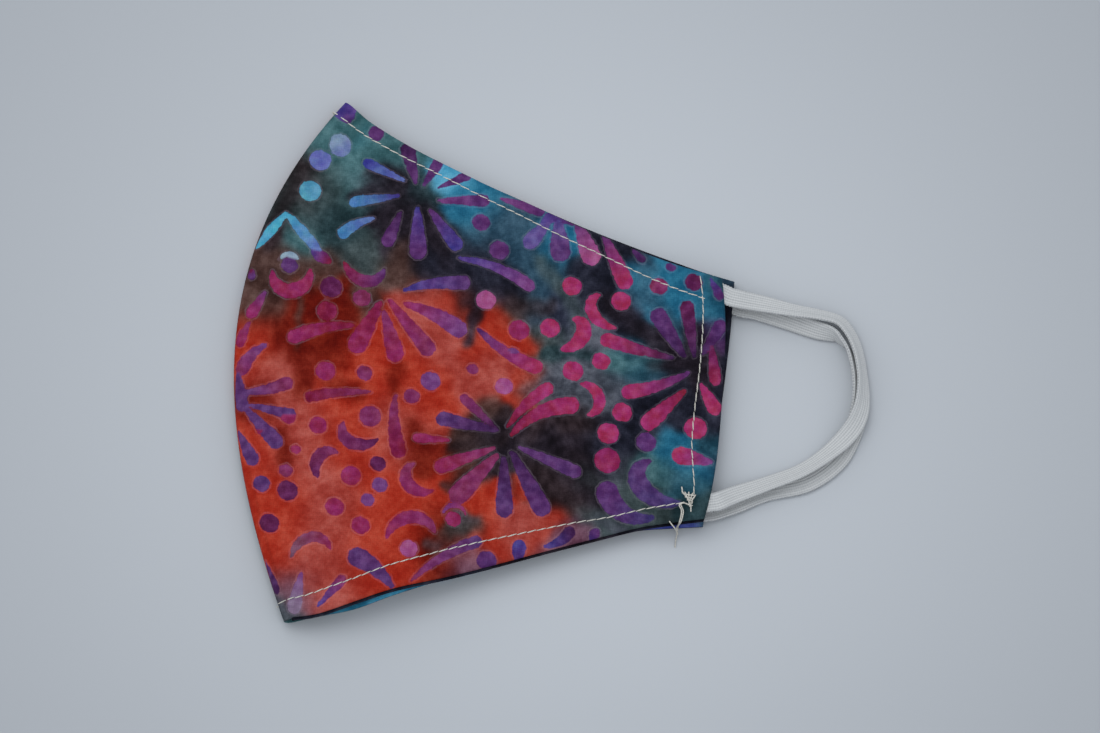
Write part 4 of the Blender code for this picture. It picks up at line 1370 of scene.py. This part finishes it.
def grains(name, lines, finish, sizes):
    """A mesh of grains along lines, made by the node tree with these sizes."""
    mesh = bpy.data.meshes.new(name + "_lines")
    starts = np.cumsum([0, *[len(line) for line in lines]])
    edges = [(k, k + 1) for a, b in zip(starts[:-1], starts[1:]) for k in range(a, b - 1)]
    mesh.from_pydata([tuple(p) for line in lines for p in line], edges, [])
    holder = put(name + "_lines", mesh)
    maker = holder.modifiers.new("grains", "NODES")
    maker.node_group = grain_group
    given = dict(zip(GRAIN_SIZES, sizes), finish=finish)
    for socket in grain_group.interface.items_tree:
        if socket.in_out == "INPUT" and socket.name in given:
            maker[socket.identifier] = given[socket.name]
    shown = holder.evaluated_get(bpy.context.evaluated_depsgraph_get())
    made = bpy.data.meshes.new_from_object(shown)
    made.name = name
    bpy.data.objects.remove(holder)
    return put(name, made)


EDGE_LOOP_SIZES = (0.9 * MM, 0.78 * MM, 0.5 * MM, 0.66 * MM, 0.0, 0.12)
elastic = knitted_elastic()
for side in ("left", "right"):
    mesh, band_length, band_edges = band_mesh(side + "_elastic_band", band_rows(side))
    band = put(side + "_elastic_band", mesh, elastic)
    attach(band, "root")
    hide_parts(side + "_ear_loop")
    edging = grains(side + "_elastic_edge_loops", band_edges, elastic, EDGE_LOOP_SIZES)
    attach(edging, "root")


# The top stitching
# Cream spun polyester thread, lockstitched round each half a little way in from its free edges.
# The stitches sink into the cloth, show on both its faces, and slant a little. The table presses
# the lowest ones flat.

STITCH_SIZES = (2.9 * MM, 3.3 * MM, 0.38 * MM, 0.3 * MM, 0.09, 0.03)
STITCH_RISE = 0.03 * MM
STITCH_SUNK = 0.11 * MM
HEM_LINE_START = 1.0 * MM
CORNER_ROOM = 0.98
THREAD_DARK, THREAD_LIGHT = "#a9a79f", "#cdc8bd"


def spun_thread():
    """Spun polyester thread, which is matt and a little fuzzy, with darker turns between plies."""
    material, tree, shader = new_material("cream_spun_polyester_thread")
    place = add(tree, "ShaderNodeTexCoord").outputs["Object"]
    inputs = {"Vector": place, "Scale": 1 / (0.5 * MM), "Detail": 3.0}
    plies = add(tree, "ShaderNodeTexNoise", inputs).outputs["Fac"]
    inputs = {"Value": plies, "From Min": 0.35, "From Max": 0.65}
    share = add(tree, "ShaderNodeMapRange", inputs).outputs[0]
    cream = mixed(tree, share, dye(THREAD_DARK), dye(THREAD_LIGHT))
    feed(tree, shader, {"Base Color": cream, "Roughness": 0.8})
    return material


def on_cloth(solid, places, below):
    """The points of a piece over places on the table, on its top or its underside."""
    shift = STITCH_SUNK if below else STITCH_RISE
    heights = [ray_height(solid, x, y, upward=below) for x, y in places]
    return np.array([(x, y, z + shift) for (x, y), z in zip(places, heights) if not math.isnan(z)])


def stitch_lines(lower, steps=140):
    """The three stitched lines of a half, on the table: nose, hem and chin."""
    edges = edge_lines(lower, steps)
    inner = cut_point(np.array([0.5]), np.array([0.5]), lower)[0]
    lines = []
    for name, line in edges.items():
        run = unit(np.gradient(line, axis=0))
        inward = np.stack([-run[:, 1], run[:, 0]], axis=1)
        if inward[steps // 2] @ (inner - line[steps // 2]) < 0:
            inward = -inward
        moved = line + inward * stitch_inset(name, np.linspace(0, 1, steps))[:, None]
        keep = np.ones(steps, bool)
        for other, edge in edges.items():
            if other == name:
                continue
            off, along = near_line(moved, edge)
            room = stitch_inset(other, np.clip(along / along.max(), 0, 1)) * CORNER_ROOM
            keep &= off >= (HEM_LINE_START if (name, other) == ("hem", "nose") else room)
        lines.append(moved[keep])
    return lines


thread = spun_thread()
for piece, lower, below in (
    (left_outer, False, False),
    (left_lining, False, True),
    (right_lining, True, False),
    (right_outer, True, True),
):
    solid = surface_of(piece)
    lines = [on_cloth(solid, line, below) for line in stitch_lines(lower)]
    name = piece.name.replace("cloth", "stitches")
    stitches = grains(name, lines, thread, STITCH_SIZES)
    for vertex in stitches.data.vertices:
        vertex.co.z = max(vertex.co.z, 0.0)
    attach(stitches, "root")


# The bar tack and its thread tail
# Where the hem and chin stitching meet, back-and-forth stitches hold the elastic tail, and the
# cut thread hangs over the chin edge on to the table. Same thread, in pixels of the picture.

TACK_THREAD = 0.42 * MM
TACK_RISE = 0.22 * MM
TAIL_THREAD = 0.38 * MM
TACK_COLUMNS = ("x1", "y1", "x2", "y2")
TACK_ROWS = (
    (681, 490, 687, 498), (684, 491, 688, 500), (688, 491, 688, 501), (692, 492, 689, 500),
    (695, 494, 690, 501), (682, 493, 694, 495), (684, 496, 693, 498), (686, 499, 692, 500),
    (688, 500, 689, 506), (690, 501, 690, 511), (685, 503, 692, 505), (681, 486, 682, 493),
)
THREAD_TAIL = (
    (687, 503, 0.35), (681, 502, 0.45), (678.5, 504.5, 0.5), (680.5, 509, 0.5), (680.2, 515, 0.5),
    (678.5, 521, 0.4),
)
TAIL_DROP = ((677.2, 527, 2.2), (676.2, 534, 0.9), (675, 541, 0.3), (674.4, 547, 0.25))
SECOND_STRAND = (
    (2.0, 0.0), (1.5, -1.0), (1.8, 0.6), (1.6, 0.0), (1.2, 0.3), (-1.4, 0.3), (1.3, 0.0),
)
SPLIT_STRAND = ((668.5, 520, 0.3), (671, 523.5, 0.4), (674.5, 528, 0.5))
SPLIT_DROP = ((676.5, 533, 1.2),)
TUBE_SIDES = 7
CUT_END = 0.45
FIRST_HEIGHT = 5 * MM
face_solid = surface_of(left_outer)


def on_face(across, down, rise):
    """The point that shows at a pixel of the picture, this far above the left half's face."""
    height = FIRST_HEIGHT
    for _ in range(4):
        x, y, _ = under_pixel(across, down, height)
        met = ray_height(face_solid, x, y)
        height = (height if math.isnan(met) else met) + rise
    return under_pixel(across, down, height)


def strand(points, width, steps=6):
    """A thread through points, as vertices and faces of a closed tube."""
    points = np.array(points)
    places = np.arange(len(points), dtype=float)
    at = np.linspace(0, len(points) - 1, (len(points) - 1) * steps + 1)
    path = smooth_through(places, points, at)
    run = unit(np.gradient(path, axis=0))
    side = np.cross(run, (0.0, 0.0, 1.0))
    side /= np.maximum(lengths(side), TINY)[:, None]
    up = np.cross(side, run)
    turn = np.linspace(0, 2 * math.pi, TUBE_SIDES, endpoint=False)
    ends = np.ones(len(path))
    ends[[0, -1]] = CUT_END
    ring = side[:, None] * np.cos(turn)[None, :, None] + up[:, None] * np.sin(turn)[None, :, None]
    tube = path[:, None] + ring * (width / 2 * ends)[:, None, None]
    return tube.reshape(-1, 3), tube_faces(len(path), TUBE_SIDES)


def threads_mesh(name, strands):
    """One mesh of several threads."""
    vertices, faces = [], []
    for points, found in strands:
        faces += [tuple(k + len(vertices) for k in face) for face in found]
        vertices += [tuple(p) for p in points]
    mesh = bpy.data.meshes.new(name)
    mesh.from_pydata(vertices, [], faces)
    mesh.shade_smooth()
    return mesh


tack = []
for row in rows(TACK_COLUMNS, TACK_ROWS):
    ends = np.array((row["x1"], row["y1"])), np.array((row["x2"], row["y2"]))
    crown = (ends[0] + ends[1]) / 2
    route = [on_face(*ends[0], 0.0), on_face(*crown, TACK_RISE), on_face(*ends[1], 0.0)]
    tack.append(strand(route, TACK_THREAD))
bar_tack = put("bar_tack", threads_mesh("bar_tack", tack), thread)
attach(bar_tack, "root")

fallen = [on_face(x, y, rise * MM) for x, y, rise in THREAD_TAIL]
fallen += [under_pixel(x, y, height * MM) for x, y, height in TAIL_DROP]
beside = [VIEW_RIGHT * x * PIXEL - VIEW_UP * y * PIXEL for x, y in SECOND_STRAND]
second = [point + shift for point, shift in zip(fallen[1:], beside)]
split = [on_face(x, y, rise * MM) for x, y, rise in SPLIT_STRAND]
split += [under_pixel(x, y, height * MM) for x, y, height in SPLIT_DROP]
strands = [strand(way, TAIL_THREAD) for way in (fallen, second, split)]
thread_tail = put("thread_tail", threads_mesh("thread_tail", strands), thread)
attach(thread_tail, "root")
